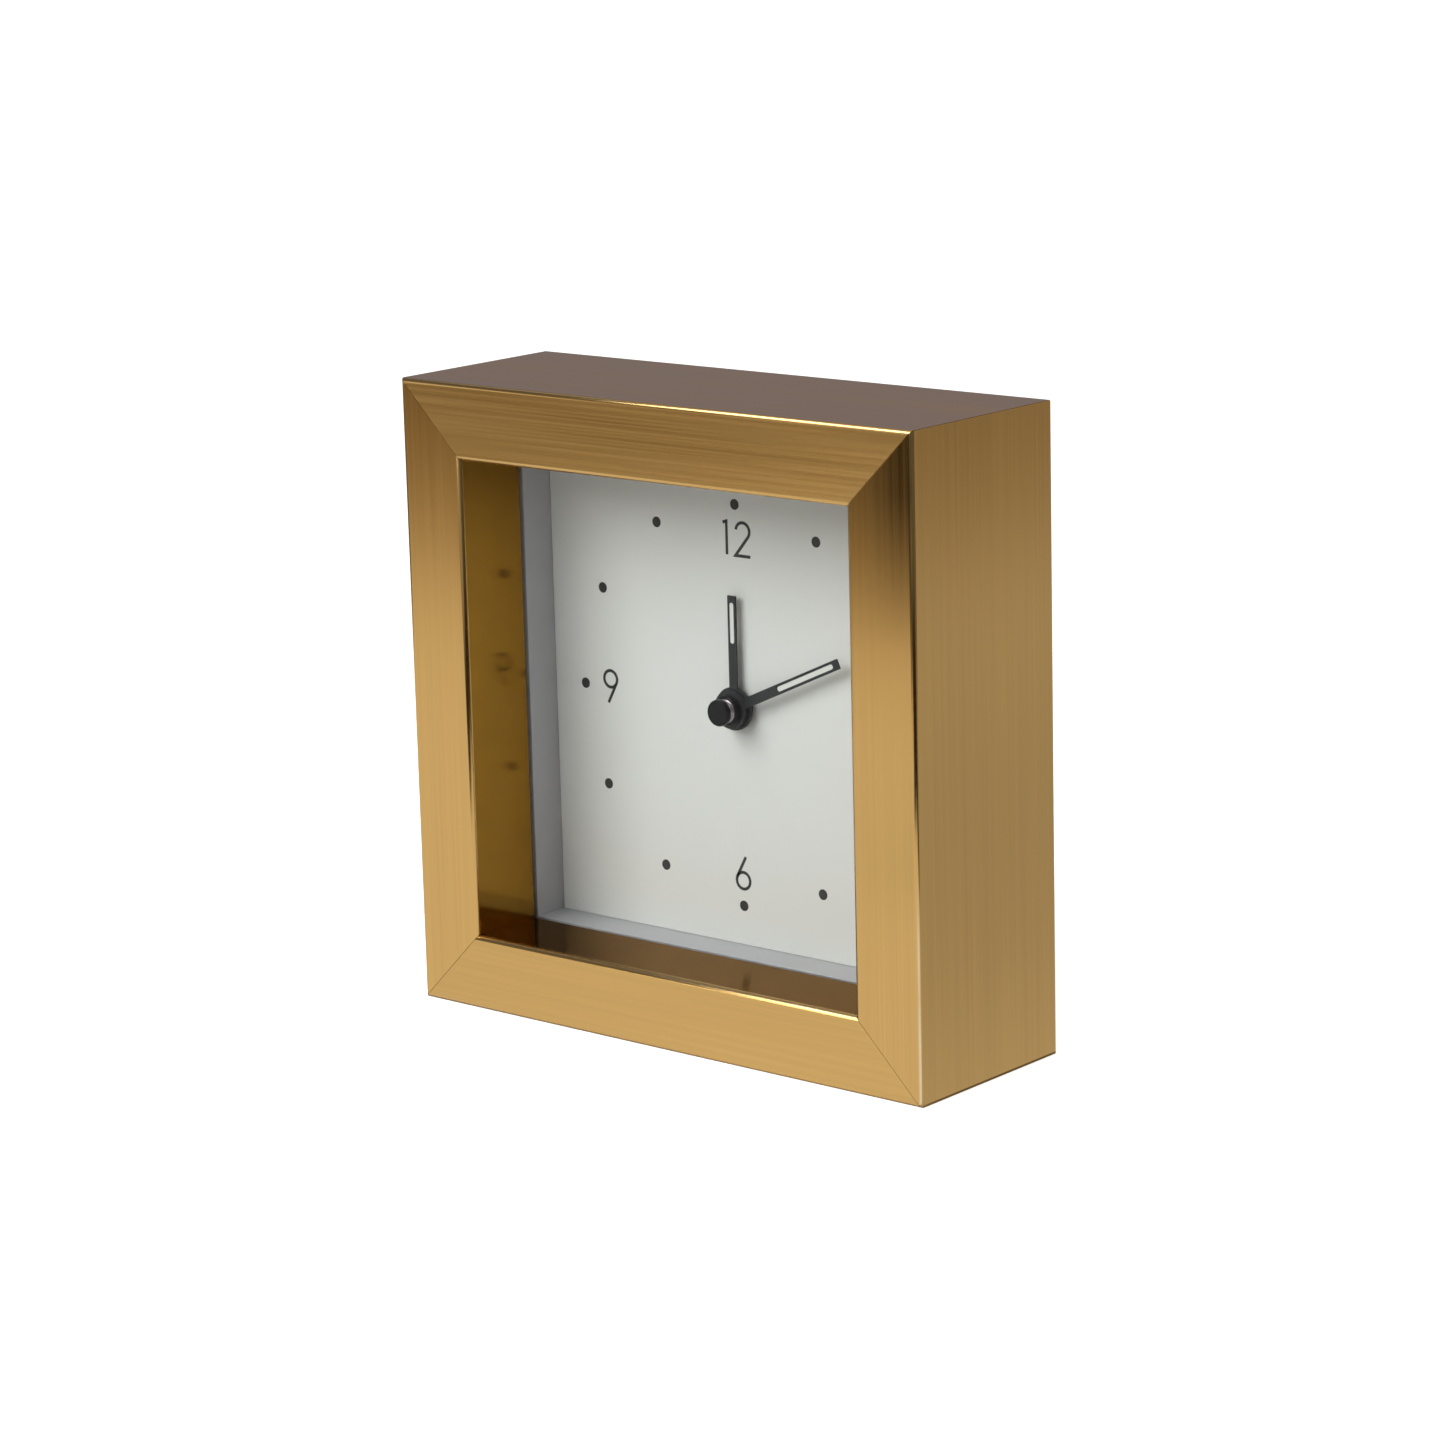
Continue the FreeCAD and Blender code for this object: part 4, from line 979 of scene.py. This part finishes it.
class BOXCLOCK_OT_back(bpy.types.Operator):
    """Finish the back panel, the battery door and the setting knob"""

    bl_idname = "box_clock.back"
    bl_label = "Back"

    def execute(self, context):
        shell = grained_shell()
        dress(BACK_SHELL, shell, 0.12 * MM)
        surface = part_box("back_panel")[1].y

        work = bmesh.new()
        setting_arrow(work, box_middle("setting_knob"), surface)
        new_piece("setting_arrow", mesh_of("setting_arrow", work), "clock_case", shell)

        work = bmesh.new()
        polarity_marks(work, surface)
        new_piece("polarity_marks", mesh_of("polarity_marks", work), "battery_lid", shell)
        return {"FINISHED"}


class BOXCLOCK_OT_studio(bpy.types.Operator):
    """Lay the floor, set the lights and place the camera"""

    bl_idname = "box_clock.studio"
    bl_label = "Studio"

    def execute(self, context):
        sizes = studio()
        lay_floor(sizes)
        light_room(sizes.surround)
        hang_lights(sizes)
        grade_reflections()
        place_camera(context.scene, sizes)
        context.scene.view_settings.view_transform = "Standard"
        return {"FINISHED"}


# ---- the studio -----------------------------------------------------------------------------------


def flat_sheet(name, corners, material):
    mesh = bpy.data.meshes.new(name)
    mesh.from_pydata([tuple(corner) for corner in corners], [], [tuple(range(len(corners)))])
    sheet = bpy.data.objects.new(name, mesh)
    bpy.context.scene.collection.objects.link(sheet)
    mesh.materials.append(material)
    return sheet


def lay_floor(sizes):
    """A glowing sheet. It looks white to the camera and is a plain grey to everything else."""
    colour = tuple(sizes.floor)
    made = Finish("pale_floor")
    seen = made.node("ShaderNodeLightPath").outputs["Is Camera Ray"]
    mottle = made.noise(0.25, 2.0)
    white = made.blend(mottle, scaled(colour, 0.99), scaled(colour, 1.01))
    made.set(
        Base_Color=made.blend(seen, grey(sizes.floor_bounce), white),
        Roughness=0.9,
        Specular_IOR_Level=0.1,
        Emission_Color=grey(1.0),
        Emission_Strength=made.math("MULTIPLY", seen, sizes.floor_glow),
    )
    reach = 8.0
    corners = [(-reach, -reach, 0), (reach, -reach, 0), (reach, reach, 0), (-reach, reach, 0)]
    flat_sheet("floor", corners, made.material)


def light_room(brightness):
    """An even room, white to the camera and dimmer to everything else."""
    world = bpy.data.worlds.new("room")
    bpy.context.scene.world = world
    world.use_nodes = True
    tree = world.node_tree
    tree.nodes["Background"].inputs["Color"].default_value = (1, 1, 1, 1)
    path = tree.nodes.new("ShaderNodeLightPath")
    pick = tree.nodes.new("ShaderNodeMix")
    pick.inputs[2].default_value = brightness
    pick.inputs[3].default_value = 1.0
    tree.links.new(path.outputs["Is Camera Ray"], pick.inputs[0])
    tree.links.new(pick.outputs[0], tree.nodes["Background"].inputs["Strength"])


def hang_light(name, place, target, size, power):
    lamp = bpy.data.lights.new(name, "AREA")
    lamp.shape = "RECTANGLE"
    lamp.size, lamp.size_y = size
    lamp.energy = power
    light = bpy.data.objects.new(name, lamp)
    bpy.context.scene.collection.objects.link(light)
    light.location = place
    light.rotation_mode = "QUATERNION"
    light.rotation_quaternion = (Vector(target) - Vector(place)).to_track_quat("-Z", "Y")
    return light


def mirror_only(sheet):
    """Shows a sheet to mirrors and to nothing else."""
    sheet.visible_camera = False
    sheet.visible_diffuse = False
    sheet.visible_shadow = False
    sheet.visible_transmission = False
    sheet.visible_volume_scatter = False


def graded_sheet(name, corners, axis, stops):
    """A glowing sheet that only mirrors show, coloured by stops of (coordinate, colour) on an axis."""
    made = Finish(name)
    made.tree.nodes.remove(made.shader)
    (start, _), (end, _) = stops[0], stops[-1]
    run = made.between(made.part(axis), 0.0, 1.0, start, end)
    ramp = made.node("ShaderNodeValToRGB", {0: run})
    marks = ramp.color_ramp.elements
    for _ in stops[2:]:
        marks.new(0.5)
    for mark, (spot, colour) in zip(marks, stops):
        mark.position = (spot - start) / (end - start)
        mark.color = (*colour, 1.0)
    glow = made.node("ShaderNodeEmission", {"Color": ramp.outputs[0]}).outputs[0]
    made.tree.links.new(glow, made.tree.nodes["Material Output"].inputs["Surface"])
    mirror_only(flat_sheet(name, corners, made.material))


def grade_reflections():
    """Sheets by the clock that set what its front, its side and its top mirror."""
    lift, far = 0.0005, 1.6
    front, side = CASE_FRONT, CAD_BOX[1].x
    graded_sheet(
        "front_grade",
        [(-far, -far, lift), (far, -far, lift), (far, front, lift), (-far, front, lift)], "Y",
        [(-1.2, (0.10, 0.08, 0.05)), (-0.56, (0.25, 0.19, 0.12)), (-0.47, (0.40, 0.31, 0.20)),
         (-0.42, (0.50, 0.41, 0.29)), (-0.38, (0.72, 0.64, 0.54)), (-0.34, (0.95, 0.91, 0.87)),
         (-0.30, grey(1.02)), (front, grey(1.02))],
    )
    dark = (0.02, 0.012, 0.01)
    inner, outer, near, level = -0.02, 0.2, -0.16, 0.03
    outline = [(inner, -far), (far, -far), (far, level), (outer, level), (outer, near), (inner, near)]
    graded_sheet(
        "right_grade", [(x, y, lift * 2) for x, y in outline], "Y", [(-far, dark), (level, dark)],
    )
    graded_sheet(
        "side_grade",
        [(side, front, lift), (1.8, front, lift), (1.8, far, lift), (side, far, lift)], "X",
        [(side, grey(0.68)), (0.12, grey(0.58)), (0.20, grey(0.56)), (0.36, grey(0.66)),
         (0.46, (0.40, 0.35, 0.29)), (1.2, (0.20, 0.17, 0.15))],
    )
    graded_sheet(
        "far_grade",
        [(-1.9, 0.4, 0.0), (0.3, far, 0.0), (0.3, far, far), (-1.9, 0.4, far)], "Z",
        [(0.0, (0.27, 0.25, 0.31)), (0.5, (0.24, 0.23, 0.28)), (far, (0.24, 0.23, 0.27))],
    )


def hang_lights(sizes):
    middle = HAND_AXIS
    hang_light("key", middle + Vector((-0.36, -0.88, 0.73)), middle, (sizes.key_side,) * 2, sizes.key_power)
    hang_light("front", (0.1, -1.7, 0.75), middle, (2.4, 1.4), sizes.front_power)
    hang_light("overhead", (0.0, 2.6, 3.0), (0.0, 2.6, 0.0), (8.0, 6.0), sizes.overhead_power)


def place_camera(scene, sizes):
    turn, rise = sizes.azimuth, sizes.elevation
    away = Vector((math.sin(turn) * math.cos(rise), -math.cos(turn) * math.cos(rise), math.sin(rise)))
    place = HAND_AXIS + away * sizes.distance
    view = (HAND_AXIS + Vector(sizes.aim) - place).normalized()
    camera = bpy.data.objects.new("camera", bpy.data.cameras.new("camera"))
    scene.collection.objects.link(camera)
    camera.data.lens = sizes.lens
    camera.data.clip_start = 0.01
    camera.data.clip_end = 50.0
    rolled = Matrix.Rotation(-sizes.roll, 3, view) @ view.to_track_quat("-Z", "Y").to_matrix()
    camera.matrix_world = Matrix.Translation(place) @ rolled.to_4x4()
    scene.camera = camera


# ---- the add-on -----------------------------------------------------------------------------------

OPERATORS = (
    BOXCLOCK_OT_profiles,
    BOXCLOCK_OT_fixings,
    BOXCLOCK_OT_glass,
    BOXCLOCK_OT_dial,
    BOXCLOCK_OT_hands,
    BOXCLOCK_OT_movement,
    BOXCLOCK_OT_battery,
    BOXCLOCK_OT_back,
    BOXCLOCK_OT_studio,
)


class BOXCLOCK_PT_panel(bpy.types.Panel):
    """Lists the clock's pieces and their sizes"""

    bl_idname = "BOXCLOCK_PT_panel"
    bl_label = "Box Clock"
    bl_space_type = "VIEW_3D"
    bl_region_type = "UI"
    bl_category = "Box Clock"

    def draw(self, context):
        for operator in OPERATORS:
            self.layout.operator(operator.bl_idname)
        for group in (finishes(), printing(), studio()):
            box = self.layout.box()
            for name in group.__annotations__:
                box.prop(group, name)


GROUPS = {
    "box_clock_finishes": BoxClockFinishes,
    "box_clock_printing": BoxClockPrinting,
    "box_clock_studio": BoxClockStudio,
}


def register():
    for made in (*GROUPS.values(), *OPERATORS, BOXCLOCK_PT_panel):
        bpy.utils.register_class(made)
    for name, group in GROUPS.items():
        setattr(bpy.types.Scene, name, PointerProperty(type=group))


def unregister():
    for name in GROUPS:
        delattr(bpy.types.Scene, name)
    for made in (BOXCLOCK_PT_panel, *reversed(OPERATORS), *reversed(GROUPS.values())):
        bpy.utils.unregister_class(made)


def main():
    register()
    for operator in OPERATORS:
        area, name = operator.bl_idname.split(".")
        getattr(getattr(bpy.ops, area), name)()


if __name__ == "__main__":
    main()
